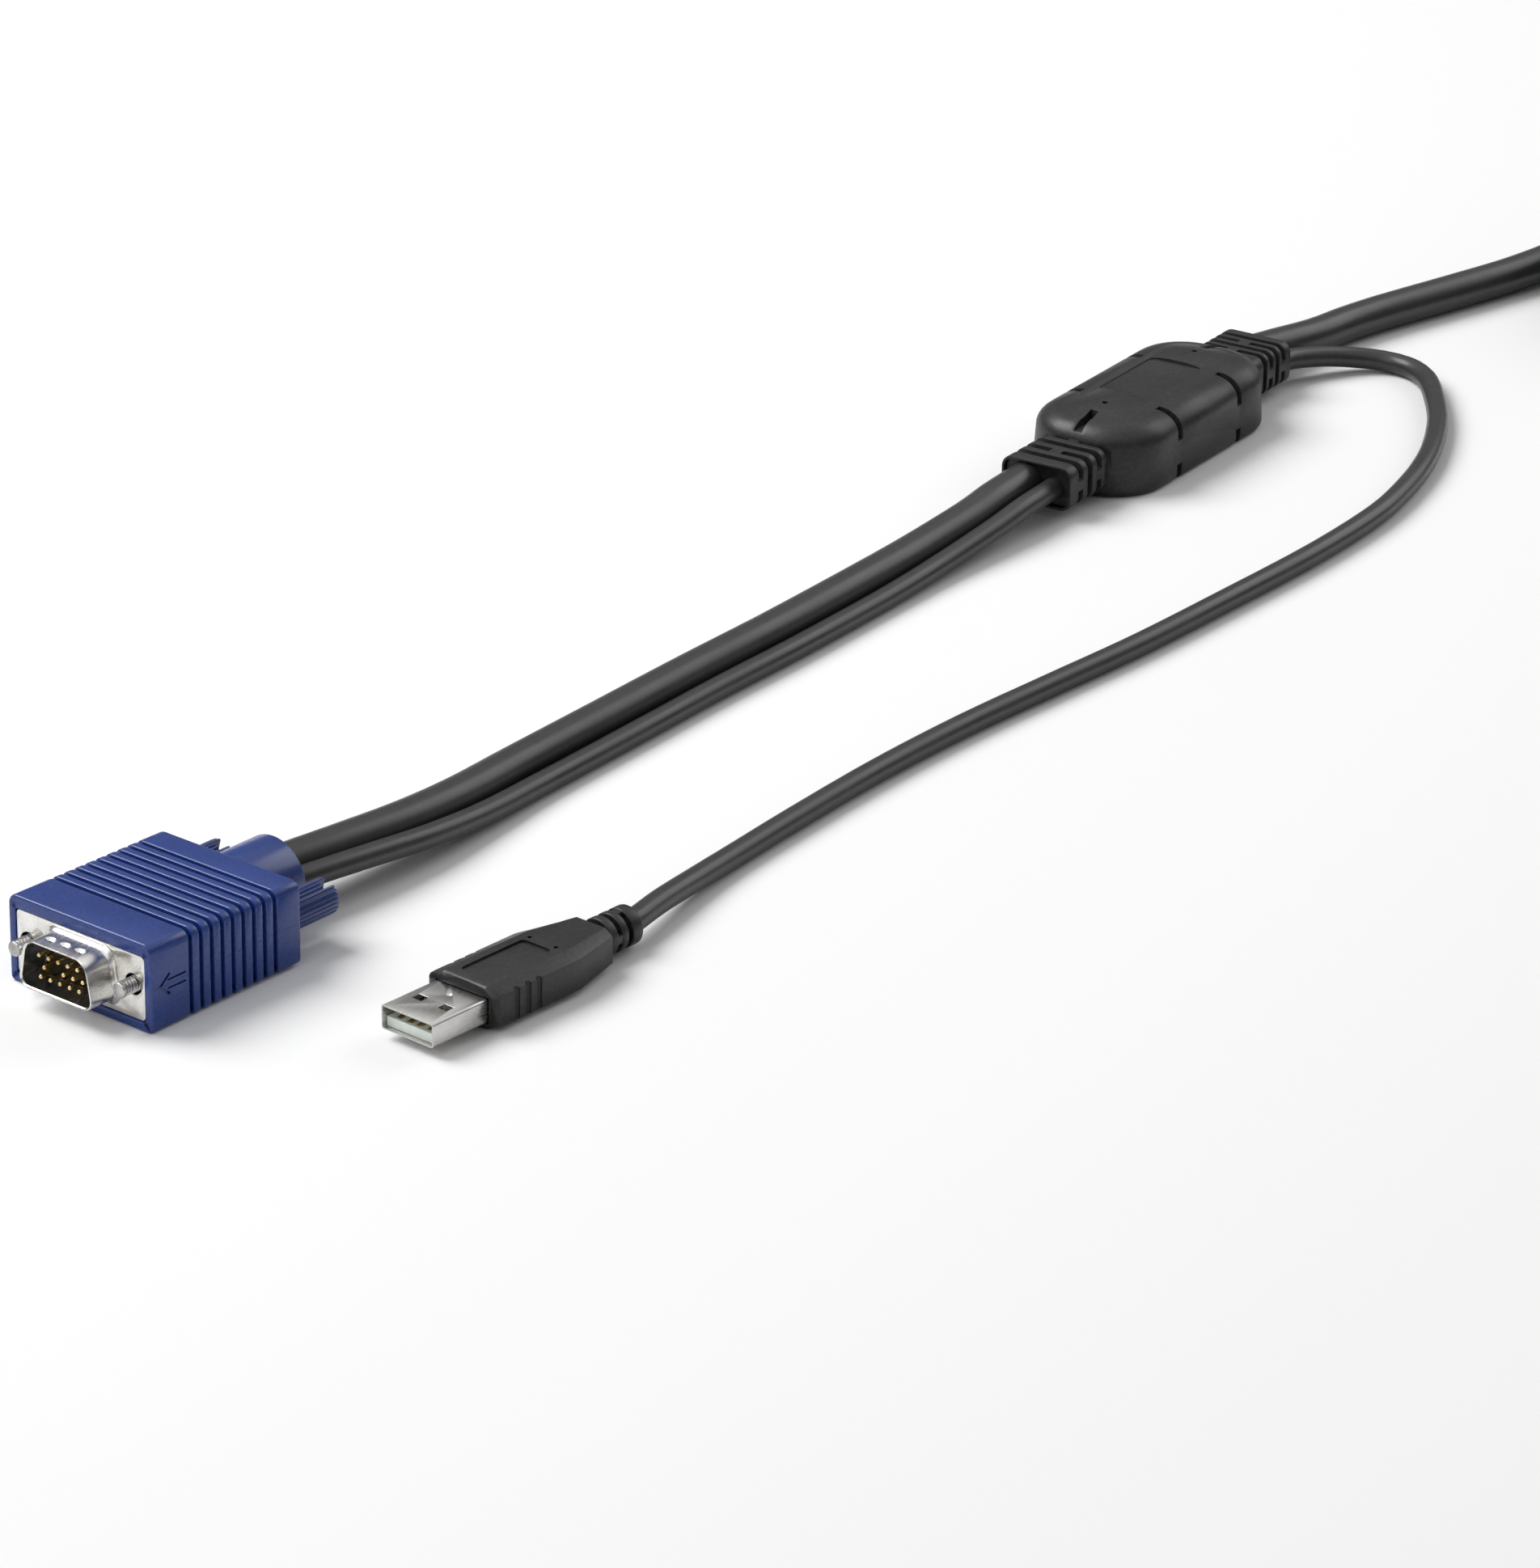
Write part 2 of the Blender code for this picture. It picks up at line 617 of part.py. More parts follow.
def grip_body_rings():
    front = USB_SHELL_SHOWING
    edge = GRIP_BODY_EDGE
    full = (GRIP_BODY_WIDTH, GRIP_BODY_HEIGHT, GRIP_BODY_TOP_WIDTH, GRIP_BODY_CHAMFER)
    small = (full[0] - 2 * edge, full[1] - 2 * edge, full[2] - edge, full[3])
    tail = (GRIP_TAIL_WIDTH, GRIP_TAIL_HEIGHT, GRIP_TAIL_TOP_WIDTH, GRIP_BODY_CHAMFER)
    neck = (2 * USB_RELIEF_CORE, 2 * USB_RELIEF_CORE, USB_RELIEF_CORE, USB_RELIEF_CORE / 2)
    back = front + GRIP_BODY_LENGTH
    rings = [across_x(front, grip_outline(*small)), across_x(front + edge, grip_outline(*full))]
    rings += [across_x(front + GRIP_BODY_STRAIGHT, grip_outline(*full))]
    rings += [across_x(back, grip_outline(*tail)), across_x(back + edge, grip_outline(*neck))]
    return rings


def make_usb_grip(parent):
    back = USB_SHELL_SHOWING + GRIP_BODY_LENGTH
    grip = loft("usb_grip", grip_body_rings())
    grip.parent = parent
    core = [(back, USB_RELIEF_CORE)]
    for start, length in USB_RELIEF_COLLARS:
        low = back + GRIP_BODY_EDGE + start
        core += [(low, USB_RELIEF_CORE), (low, USB_RELIEF_RADIUS)]
        core += [(low + length, USB_RELIEF_RADIUS), (low + length, USB_RELIEF_CORE)]
    join(grip, turned("usb_relief", core[:-1], 16))
    first, second, third = USB_RELIEF_COLLARS
    half = USB_RELIEF_BRIDGE / 2
    reach = USB_RELIEF_RADIUS - GRIP_BODY_EDGE / 4
    start = back + GRIP_BODY_EDGE + first[0] + first[1] / 2
    middle = back + GRIP_BODY_EDGE + second[0] + second[1] / 2
    end = back + GRIP_BODY_EDGE + third[0] + third[1] / 2
    join(grip, block("usb_bridge_sides", (start, -reach, -half), (middle, reach, half)))
    join(grip, block("usb_bridge_top", (middle, -half, -reach), (end, half, reach)))
    pocket = (front_reach(), usb_shell_end() + GAP)
    cut(grip, loft("usb_grip_pocket", [across_x(x, usb_outline(-GAP)) for x in pocket]))
    cut(grip, thumb_grooves())
    top = GRIP_BODY_HEIGHT / 2
    panel_middle = USB_SHELL_SHOWING + USB_PANEL_PLACE + USB_PANEL_LENGTH / 2
    panel = rounded_rectangle(USB_PANEL_LENGTH, USB_PANEL_WIDTH, USB_PANEL_CORNER, 2)
    panel = moved(panel, panel_middle, 0.0)
    cut(grip, loft("usb_panel", [across_z(z, panel) for z in (top - PANEL_DEPTH, top + OVERSHOOT)]))
    return grip


def front_reach():
    return USB_SHELL_SHOWING - OVERSHOOT


def thumb_grooves():
    cutters = []
    for side in (-1, 1):
        for index in range(THUMB_GROOVES):
            middle = USB_SHELL_SHOWING + THUMB_GROOVE_PLACE + index * THUMB_GROOVE_PITCH
            near = side * (GRIP_BODY_WIDTH / 2 - THUMB_GROOVE_DEPTH)
            far = side * (GRIP_BODY_WIDTH / 2 + OVERSHOOT)
            low = (middle - THUMB_GROOVE_WIDTH / 2, min(near, far), -GRIP_BODY_HEIGHT)
            high = (middle + THUMB_GROOVE_WIDTH / 2, max(near, far), GRIP_BODY_HEIGHT)
            cutters.append(block("usb_thumb_groove", low, high))
    return merged("usb_thumb_grooves", cutters)


def make_usb_plug(paints):
    parent = frame("usb_plug", (*USB_PLACE, GRIP_BODY_HEIGHT / 2), USB_TURN)
    finish(make_usb_grip(parent), parent, paints["black_plastic"])
    finish(make_usb_shell(parent), parent, paints["nickel"])
    finish(make_tongue(parent), parent, paints["tongue_plastic"])
    for index, across in enumerate(CONTACT_PLACES):
        finish(make_contact(index + 1, across), parent, paints["gold"])


# Junction box

def end_lean(height):
    """How far the box's ends lean in at a height."""
    return BOX_END_DRAFT * min(height / (BOX_SHOULDER_HEIGHT - BOX_TOP_DROP), 1.0)


def box_outline(inset, height):
    length = BOX_LENGTH - 2 * inset - 2 * end_lean(height)
    width = BOX_WIDTH - 2 * inset
    return rounded_rectangle(length, width, max(BOX_CORNER - inset, BOX_CORNER / 20), 6)


def box_sections():
    """(inset, height) pairs from the underside to the crown."""
    sections = []
    for turn in (0, 45, 90):
        angle = math.radians(turn)
        inset = BOX_BOTTOM_ROUND * (1 - math.sin(angle))
        sections.append((inset, BOX_BOTTOM_ROUND * (1 - math.cos(angle))))
    foot = BOX_SHOULDER_HEIGHT - BOX_TOP_DROP
    for turn in (0, 22, 45, 68, 90):
        angle = math.radians(turn)
        inset = BOX_TOP_ROUND * (1 - math.cos(angle))
        sections.append((inset, foot + BOX_TOP_DROP * math.sin(angle)))
    half = (BOX_TOP_ROUND + BOX_CROWN_INSET) / 2
    rise = BOX_HEIGHT - BOX_SHOULDER_HEIGHT
    sections += [(half, BOX_SHOULDER_HEIGHT + 0.7 * rise), (BOX_CROWN_INSET, BOX_HEIGHT)]
    return sections


def slot_profile(half):
    """Outline of the material a slot takes from the rounded top edge, as (across, up)."""
    deep = SLOT_DEPTH
    far = half + OVERSHOOT
    high = BOX_HEIGHT + OVERSHOOT
    start = half - BOX_TOP_ROUND
    foot = BOX_SHOULDER_HEIGHT - BOX_TOP_DROP
    points = [(start, high), (start, BOX_SHOULDER_HEIGHT - 0.6 * deep)]
    for turn in (70, 45, 20):
        angle = math.radians(turn)
        across = start + (BOX_TOP_ROUND - deep) * math.cos(angle)
        points.append((across, foot + (BOX_TOP_DROP - deep) * math.sin(angle)))
    points += [(half - deep, SIDE_SLOT_LOW), (far, SIDE_SLOT_LOW), (far, high)]
    return points


def foot_profile(half):
    far = half + OVERSHOOT
    deep = SLOT_DEPTH
    points = [(half - 2 * deep, -OVERSHOOT), (half - deep, BOX_BOTTOM_ROUND / 2)]
    points += [(half - deep, FOOT_SLOT_HIGH), (far, FOOT_SLOT_HIGH), (far, -OVERSHOOT)]
    return points


def side_slots():
    cutters = []
    for side in (-1, 1):
        for end in (-1, 1):
            ends = [end * SIDE_SLOT_PLACE + part * SLOT_WIDTH / 2 for part in (-1, 1)]
            for profile in (slot_profile(BOX_WIDTH / 2), foot_profile(BOX_WIDTH / 2)):
                outline = [(side * across, up) for across, up in profile]
                cutters.append(loft("box_side_slot", [across_x(x, outline) for x in ends]))
    return merged("box_side_slots", cutters)


def end_slots():
    cutters = []
    for end in (-1, 1):
        profile = slot_profile(BOX_LENGTH / 2 - BOX_END_DRAFT)
        rings = []
        for across in (-SLOT_WIDTH / 2, SLOT_WIDTH / 2):
            rings.append([(end * along, across, max(up, relief_top())) for along, up in profile])
        cutters.append(loft("box_end_slot", rings))
    return merged("box_end_slots", cutters)


def relief_top():
    return RELIEF_AXIS + RELIEF_HEIGHT / 2


def crown_height(across):
    """Height of the box's top over a line at this distance from its middle."""
    inset = BOX_WIDTH / 2 - abs(across)
    half = (BOX_TOP_ROUND + BOX_CROWN_INSET) / 2
    rise = BOX_HEIGHT - BOX_SHOULDER_HEIGHT
    if inset >= BOX_CROWN_INSET:
        return BOX_HEIGHT
    if inset >= half:
        share = (inset - half) / (BOX_CROWN_INSET - half)
        return BOX_SHOULDER_HEIGHT + rise * (0.7 + 0.3 * share)
    return BOX_SHOULDER_HEIGHT + 0.7 * rise * (inset - BOX_TOP_ROUND) / (half - BOX_TOP_ROUND)


def panel_cutter():
    half = (BOX_TOP_ROUND + BOX_CROWN_INSET) / 2
    lines = [BOX_PANEL_WIDTH / 2, BOX_WIDTH / 2 - half, BOX_WIDTH / 2 - BOX_CROWN_INSET]
    across = lines + [-line for line in reversed(lines)]
    floor = [(line, crown_height(line) - BOX_PANEL_DEPTH) for line in across]
    outline = floor + [(-lines[0], BOX_HEIGHT + OVERSHOOT), (lines[0], BOX_HEIGHT + OVERSHOOT)]
    ends = (-BOX_PANEL_LENGTH / 2, BOX_PANEL_LENGTH / 2)
    return loft("box_panel", [across_x(x, outline) for x in ends])


def vents():
    cutters = []
    for end in (-1, 1):
        outline = moved(circle(VENT_RADIUS, PIN_SIDES), end * VENT_PLACE, 0.0)
        ends = (BOX_HEIGHT - VENT_DEPTH, BOX_HEIGHT + OVERSHOOT)
        cutters.append(loft("box_vent", [across_z(z, outline) for z in ends]))
    return merged("box_vents", cutters)


def relief_end():
    return BOX_LENGTH / 2 + RELIEF_LENGTH


def relief_outline(inset):
    width = RELIEF_WIDTH - 2 * inset
    height = RELIEF_HEIGHT - 2 * inset
    outline = rounded_rectangle(width, height, max(RELIEF_CORNER - inset, RELIEF_CORNER / 5))
    return moved(outline, 0.0, RELIEF_AXIS)


def make_relief(end):
    inner = BOX_LENGTH / 2 - BOX_CORNER / 2
    sections = [(inner, 0.0), (relief_end() - RELIEF_END_EDGE, 0.0), (relief_end(), RELIEF_END_EDGE)]
    sections += [(relief_end(), RELIEF_RIM), (relief_end() - RELIEF_RECESS, RELIEF_RIM)]
    return loft("box_relief", [across_x(end * x, relief_outline(inset)) for x, inset in sections])


def groove_half(turned_over):
    """Half of a groove round a relief: a C that leaves a bridge at its two ends."""
    reach = OVERSHOOT + RELIEF_WIDTH / 2
    width = RELIEF_WIDTH - 2 * RELIEF_GROOVE_DEPTH
    height = RELIEF_HEIGHT - 2 * RELIEF_GROOVE_DEPTH
    bridge = RELIEF_BRIDGE / 2
    if turned_over:
        width, height = height, width
        reach = OVERSHOOT + RELIEF_HEIGHT / 2
    wall = OVERSHOOT + (RELIEF_WIDTH if turned_over else RELIEF_HEIGHT) / 2
    radius = RELIEF_CORNER / 2
    inner = [point for point in rounded_rectangle(width, height, radius, 3) if point[0] > 0]
    inner.sort(key=lambda point: -point[1])
    outline = [(bridge, wall), (bridge, height / 2)] + inner
    outline += [(bridge, -height / 2), (bridge, -wall), (reach, -wall), (reach, wall)]
    if turned_over:
        outline = [(-up, across) for across, up in outline]
    return outline


def relief_grooves(end):
    cutters = []
    for index in range(RELIEF_GROOVES):
        middle = relief_end() - RELIEF_COLLAR - RELIEF_GROOVE_WIDTH / 2 - index * RELIEF_GROOVE_PITCH
        ends = [end * (middle + part * RELIEF_GROOVE_WIDTH / 2) for part in (-1, 1)]
        half = groove_half(turned_over=index % 2 == 0)
        for side in (-1, 1):
            outline = moved([(side * across, side * up) for across, up in half], 0.0, RELIEF_AXIS)
            cutters.append(loft("box_groove", [across_x(x, outline) for x in ends]))
    return merged("box_grooves", cutters)


def make_junction(paints):
    parent = frame("junction", (0.0, 0.0, 0.0))
    rings = [across_z(height, box_outline(inset, height)) for inset, height in box_sections()]
    box = loft("junction_box", rings)
    box.parent = parent
    cut(box, panel_cutter())
    cut(box, side_slots())
    cut(box, vents())
    for end in (-1, 1):
        join(box, make_relief(end))
        cut(box, relief_grooves(end))
    cut(box, end_slots())
    finish(box, parent, paints["black_plastic"])


# Cords. Routes are hand-chosen points in millimetres, from one end to the other.

VGA_CORD_ROUTE = (
    (-283.6, 14.1, 7.6), (-276.0, 12.5, 7.4), (-266.0, 10.7, 7.0), (-250.0, 8.8, 6.0),
    (-233.0, 8.5, 4.8), (-214.0, 8.9, 4.0), (-188.0, 7.9, 3.93), (-161.0, 6.8, 3.93),
    (-134.0, 5.3, 3.93), (-105.0, 4.4, 3.93), (-85.0, 3.9, 4.1), (-66.0, 3.0, 5.2),
    (-56.0, 2.9, 6.1), (-46.0, 2.9, 6.4),
)
LINK_CORD_ROUTE = (
    (-283.6, 7.5, 7.6), (-276.0, 5.9, 7.3), (-266.0, 4.2, 6.6), (-250.0, 2.4, 5.0),
    (-233.0, 2.2, 3.3), (-214.0, 2.4, 2.4), (-188.0, 1.5, 2.27), (-161.0, 0.6, 2.27),
    (-134.0, -0.9, 2.27), (-105.0, -1.8, 2.3), (-85.0, -2.3, 3.0), (-66.0, -3.3, 4.7),
    (-56.0, -3.6, 5.8), (-46.0, -3.6, 6.1),
)
USB_CORD_ROUTE = (
    (46.0, -4.2, 5.3), (51.0, -5.2, 5.0), (57.8, -8.7, 4.2), (63.4, -13.0, 3.2),
    (66.9, -18.4, 2.5), (67.0, -24.6, 2.27), (63.0, -30.8, 2.27), (55.0, -36.9, 2.27),
    (43.4, -44.0, 2.27), (30.7, -49.8, 2.27), (18.4, -54.0, 2.27), (4.0, -57.2, 2.27),
    (-12.8, -59.2, 2.27), (-37.9, -59.0, 2.27), (-67.5, -56.7, 2.27), (-96.6, -54.0, 2.27),
    (-122.9, -50.3, 2.27), (-148.7, -46.8, 2.27), (-175.3, -44.6, 2.27), (-202.3, -43.8, 2.27),
    (-222.0, -43.7, 2.3), (-236.0, -44.3, 2.9), (-248.0, -45.4, 3.8), (-258.5, -46.45, 4.05),
)
MAIN_CORD_ROUTE = (
    (46.0, 2.9, 5.8), (55.0, 1.3, 5.1), (67.5, -1.2, 4.2), (78.0, -2.8, 3.95),
    (88.0, -5.3, 3.93), (97.5, -8.3, 3.93), (110.7, -12.6, 3.93), (124.3, -16.8, 3.93),
    (134.5, -19.8, 4.3), (146.0, -23.2, 5.3),
)
TAIL_ROUTE = (
    (131.7, -124.4, 13.1), (124.0, -124.4, 12.4), (116.0, -124.4, 9.6), (108.6, -124.4, 8.4),
)


def smooth_route(route, spacing):
    """Evenly spaced points on one smooth curve through the route's own points."""
    anchors = [Vector(point) * MM for point in route]
    anchors = [2 * anchors[0] - anchors[1]] + anchors + [2 * anchors[-1] - anchors[-2]]
    fine = []
    for before, start, end, after in zip(anchors, anchors[1:], anchors[2:], anchors[3:]):
        for step in range(20):
            share = step / 20
            leave = (end - before) / 2
            arrive = (after - start) / 2
            cubed = share ** 3
            squared = share ** 2
            point = start * (2 * cubed - 3 * squared + 1) + leave * (cubed - 2 * squared + share)
            fine.append(point + end * (3 * squared - 2 * cubed) + arrive * (cubed - squared))
    fine.append(anchors[-2])
    length = sum((b - a).length for a, b in zip(fine, fine[1:]))
    count = max(3, round(length / spacing))
    points = [fine[0]]
    passed = 0.0
    for start, end in zip(fine, fine[1:]):
        step = (end - start).length
        while len(points) < count and passed + step >= length * len(points) / count:
            share = (length * len(points) / count - passed) / step
            points.append(start.lerp(end, share))
        passed += step
    points.append(fine[-1])
    return points


def make_cord(name, route, radius, resolution, material):
    curve = bpy.data.curves.new(name, "CURVE")
    curve.dimensions = "3D"
    curve.bevel_depth = radius
    curve.bevel_resolution = resolution
    curve.use_fill_caps = True
    points = smooth_route(route, 5 * radius)
    spline = curve.splines.new("POLY")
    spline.points.add(len(points) - 1)
    for knot, point in zip(spline.points, points):
        knot.co = (*point, 1.0)
    cord = bpy.data.objects.new(name, curve)
    bpy.context.scene.collection.objects.link(cord)
    finish(cord, None, material)


def coil_outline(grow):
    """Section of the coil's turns, about the middle turn, as (outwards, up)."""
    width = 2 * THICK_RADIUS * COIL_COLUMNS + 2 * grow
    height = 2 * THICK_RADIUS * COIL_LAYERS + 2 * grow
    middle = COIL_FOOT + THICK_RADIUS * COIL_LAYERS
    return moved(rounded_rectangle(width, height, COIL_ROUND + grow, 2), 0.0, middle)


def make_coil(paints):
    middle = Vector((*COIL_CENTRE, 0.0))
    mesh = bmesh.new()
    loops = []
    for index in range(COIL_SIDES):
        turn = math.tau * index / COIL_SIDES
        outwards = Vector((math.cos(turn), math.sin(turn), 0.0))
        loop = []
        for out, up in coil_outline(0.0):
            loop.append(mesh.verts.new(middle + outwards * (COIL_RADIUS + out) + Vector((0, 0, up))))
        loops.append(loop)
    for index, low in enumerate(loops):
        high = loops[(index + 1) % COIL_SIDES]
        for corner in range(len(low)):
            following = (corner + 1) % len(low)
            mesh.faces.new((low[corner], low[following], high[following], high[corner]))
    bmesh.ops.recalc_face_normals(mesh, faces=mesh.faces)
    data = bpy.data.meshes.new("main_cord_coil")
    mesh.to_mesh(data)
    mesh.free()
    coil = bpy.data.objects.new("main_cord_coil", data)
    bpy.context.scene.collection.objects.link(coil)
    finish(coil, None, paints["cord_jacket"])


def make_tie(paints):
    """A flat band round the coil's turns."""
    parent = frame("coil_tie_place", (*COIL_CENTRE, 0.0), TIE_ANGLE)
    ends = (-TIE_WIDTH / 2, TIE_WIDTH / 2)
    bulge = COIL_RADIUS + COIL_COLUMNS * THICK_RADIUS
    bulge -= math.sqrt(bulge ** 2 - (TIE_WIDTH / 2) ** 2)
    rings = []
    for grow in (TIE_THICKNESS, 0.0):
        outline = coil_outline(GAP + grow)
        rings.append([(COIL_RADIUS + out - (bulge if out < 0 else 0.0), up) for out, up in outline])
    outer, inner = rings
    band = loft("coil_tie", [[(out, y, up) for out, up in outer] for y in ends])
    band.parent = parent
    reach = (ends[0] - OVERSHOOT, ends[1] + OVERSHOOT)
    cut(band, loft("coil_tie_inside", [[(out, y, up) for out, up in inner] for y in reach]))
    finish(band, parent, paints["black_plastic"])


def make_cords(paints):
    jacket = paints["cord_jacket"]
    make_cord("vga_cord", VGA_CORD_ROUTE, THICK_RADIUS, 3, jacket)
    make_cord("link_cord", LINK_CORD_ROUTE, THIN_RADIUS, 2, jacket)
    make_cord("usb_cord", USB_CORD_ROUTE, THIN_RADIUS, 2, jacket)
    make_cord("main_cord", MAIN_CORD_ROUTE, THICK_RADIUS, 3, jacket)
    make_cord("main_cord_tail", TAIL_ROUTE, THICK_RADIUS, 3, jacket)
    make_coil(paints)
    make_tie(paints)


def main():
    clear_scene()
    paints = make_materials()
    make_video_plug("vga", VGA_PLACE, VGA_TURN, grip_grooves(), paints)
    make_video_plug("far", FAR_PLACE, FAR_TURN, [], paints)
    make_usb_plug(paints)
    make_junction(paints)
    make_cords(paints)


main()
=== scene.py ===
import math
import bmesh
import bpy
from mathutils import Matrix, Vector


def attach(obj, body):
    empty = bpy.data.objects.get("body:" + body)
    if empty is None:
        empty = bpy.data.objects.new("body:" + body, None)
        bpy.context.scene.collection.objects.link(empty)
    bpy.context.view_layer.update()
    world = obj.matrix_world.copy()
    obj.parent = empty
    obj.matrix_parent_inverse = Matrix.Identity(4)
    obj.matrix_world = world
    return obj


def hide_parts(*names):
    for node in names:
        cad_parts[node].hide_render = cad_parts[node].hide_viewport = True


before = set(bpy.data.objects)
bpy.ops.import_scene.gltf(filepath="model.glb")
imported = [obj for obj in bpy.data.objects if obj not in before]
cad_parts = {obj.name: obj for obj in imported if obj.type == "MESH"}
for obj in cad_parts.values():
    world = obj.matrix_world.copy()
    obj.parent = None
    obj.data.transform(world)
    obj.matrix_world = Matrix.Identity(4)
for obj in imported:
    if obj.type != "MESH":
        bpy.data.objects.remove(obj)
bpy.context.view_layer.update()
mm = 0.001

# Where the two near plugs and the far one lie: mouth, height of the axis, turn about Z
vgaSpot = {"x": -332.4, "y": 16.5, "z": 8.2, "turn": -6.8}
farSpot = {"x": 60.0, "y": -124.4, "z": 8.2, "turn": 0.0}
usbSpot = {"x": -314.1, "y": -38.6, "z": 4.05, "turn": -8.1}


# Modelling helpers: sizes are millimetres, and X runs from a plug's mouth to its cord

def deselect():
    bpy.ops.object.select_all(action="DESELECT")


def focus(piece):
    deselect()
    piece.select_set(True)
    bpy.context.view_layer.objects.active = piece


def settle(piece):  # the place goes into the mesh
    focus(piece)
    bpy.ops.object.transform_apply(location=True, rotation=True, scale=True)
    return piece


def addBox(name, low, high):
    deselect()
    middle = [(a + b) / 2 * mm for a, b in zip(low, high)]
    bpy.ops.mesh.primitive_cube_add(size=1, location=middle)
    piece = bpy.context.object
    piece.name = name
    piece.scale = [(b - a) * mm for a, b in zip(low, high)]
    return settle(piece)


def addRod(name, radius, start, end, y=0.0, z=0.0, sides=48, along="x"):
    deselect()
    middle = (start + end) / 2
    place = {"x": (middle, y, z), "y": (y, middle, z), "z": (y, z, middle)}[along]
    turn = {"x": (0, math.pi / 2, 0), "y": (math.pi / 2, 0, 0), "z": (0, 0, 0)}[along]
    bpy.ops.mesh.primitive_cylinder_add(vertices=sides, radius=radius * mm, depth=(end - start) * mm,
                                        location=[value * mm for value in place], rotation=turn)
    piece = bpy.context.object
    piece.name = name
    return settle(piece)


def addBall(name, radius, place, squash=(1, 1, 1)):
    deselect()
    bpy.ops.mesh.primitive_uv_sphere_add(segments=24, ring_count=16, radius=radius * mm,
                                         location=[value * mm for value in place])
    piece = bpy.context.object
    piece.name = name
    piece.scale = squash
    return settle(piece)


def edit(piece, mode="FACE"):
    focus(piece)
    bpy.ops.object.mode_set(mode="EDIT")
    bpy.ops.mesh.select_mode(type=mode)
    bpy.ops.mesh.select_all(action="DESELECT")


def done():
    bpy.ops.object.mode_set(mode="OBJECT")


def pickFaces(piece, test):
    bpy.ops.mesh.select_mode(type="FACE")
    bpy.ops.mesh.select_all(action="DESELECT")
    mesh = bmesh.from_edit_mesh(piece.data)
    for face in mesh.faces:
        if test(face.calc_center_median() / mm, face.normal):
            face.select_set(True)
    mesh.select_flush_mode()
    bmesh.update_edit_mesh(piece.data)


def pickEdges(piece, test):
    bpy.ops.mesh.select_mode(type="EDGE")
    bpy.ops.mesh.select_all(action="DESELECT")
    mesh = bmesh.from_edit_mesh(piece.data)
    for edge in mesh.edges:
        a, b = (vert.co / mm for vert in edge.verts)
        if test((a + b) / 2, (b - a).normalized()):
            edge.select_set(True)
    mesh.select_flush_mode()
    bmesh.update_edit_mesh(piece.data)


def pickPoints(piece, test):
    bpy.ops.mesh.select_mode(type="VERT")
    bpy.ops.mesh.select_all(action="DESELECT")
    mesh = bmesh.from_edit_mesh(piece.data)
    for vert in mesh.verts:
        if test(vert.co / mm):
            vert.select_set(True)
    mesh.select_flush_mode()
    bmesh.update_edit_mesh(piece.data)


def bevel(offset, segments=3):
    bpy.ops.mesh.bevel(offset=offset * mm, segments=segments, affect="EDGES")


def stretch(x=1.0, y=1.0, z=1.0, about=(0, 0, 0)):
    bpy.ops.transform.resize(value=(x, y, z), center_override=[value * mm for value in about])


def shift(x=0.0, y=0.0, z=0.0):
    bpy.ops.transform.translate(value=(x * mm, y * mm, z * mm))


def cutAcross(places, axis=0):
    normal = [0, 0, 0]
    normal[axis] = 1
    for place in places:
        point = [value * place * mm for value in normal]
        bpy.ops.mesh.select_all(action="SELECT")
        bpy.ops.mesh.bisect(plane_co=point, plane_no=normal)


def modify(piece, kind, **settings):
    focus(piece)
    modifier = piece.modifiers.new(kind.title(), kind)
    for name, value in settings.items():
        setattr(modifier, name, value)
    bpy.ops.object.modifier_apply(modifier=modifier.name)
    return piece


def combine(piece, other, operation="DIFFERENCE", keep=False):
    modify(piece, "BOOLEAN", operation=operation, solver="EXACT", object=other)
    if not keep:
        bpy.data.objects.remove(other, do_unlink=True)
    return piece


def softEdges(piece, width, segments=2, angle=40):
    return modify(piece, "BEVEL", width=width * mm, segments=segments, limit_method="ANGLE",
                  angle_limit=math.radians(angle), harden_normals=False)


def joined(name, pieces):
    focus(pieces[0])
    for piece in pieces[1:]:
        piece.select_set(True)
    bpy.ops.object.join()
    pieces[0].name = name
    return pieces[0]


def copyOf(piece, name, x=0.0, y=0.0, z=0.0):
    focus(piece)
    bpy.ops.object.duplicate(linked=False)
    twin = bpy.context.object
    twin.name = name
    twin.location = Vector((x, y, z)) * mm
    return settle(twin)


def mirrored(piece, name, axis):
    twin = copyOf(piece, name)
    scale = [1, 1, 1]
    scale[axis] = -1
    twin.scale = scale
    settle(twin)
    edit(twin)
    bpy.ops.mesh.select_all(action="SELECT")
    bpy.ops.mesh.normals_make_consistent(inside=False)
    done()
    return twin


def turned(piece, degrees, about, axis=0):
    edit(piece)
    bpy.ops.mesh.select_all(action="SELECT")
    bpy.ops.transform.rotate(value=-math.radians(degrees), orient_axis="XYZ"[axis],
                             center_override=[value * mm for value in about])
    done()
    return piece


def laid(piece, spot):  # from the plug's own axes to its place on the table
    piece.location = (spot["x"] * mm, spot["y"] * mm, spot["z"] * mm)
    piece.rotation_euler.z = math.radians(spot["turn"])
    return settle(piece)


def dress(piece, material, body="cable", nodes=(), angle=32):
    focus(piece)
    if piece.type == "MESH":
        bpy.ops.object.shade_smooth_by_angle(angle=math.radians(angle))
    piece.data.materials.clear()
    piece.data.materials.append(material)
    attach(piece, body)
    if nodes:
        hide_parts(*nodes)
    return piece


# Shader helpers

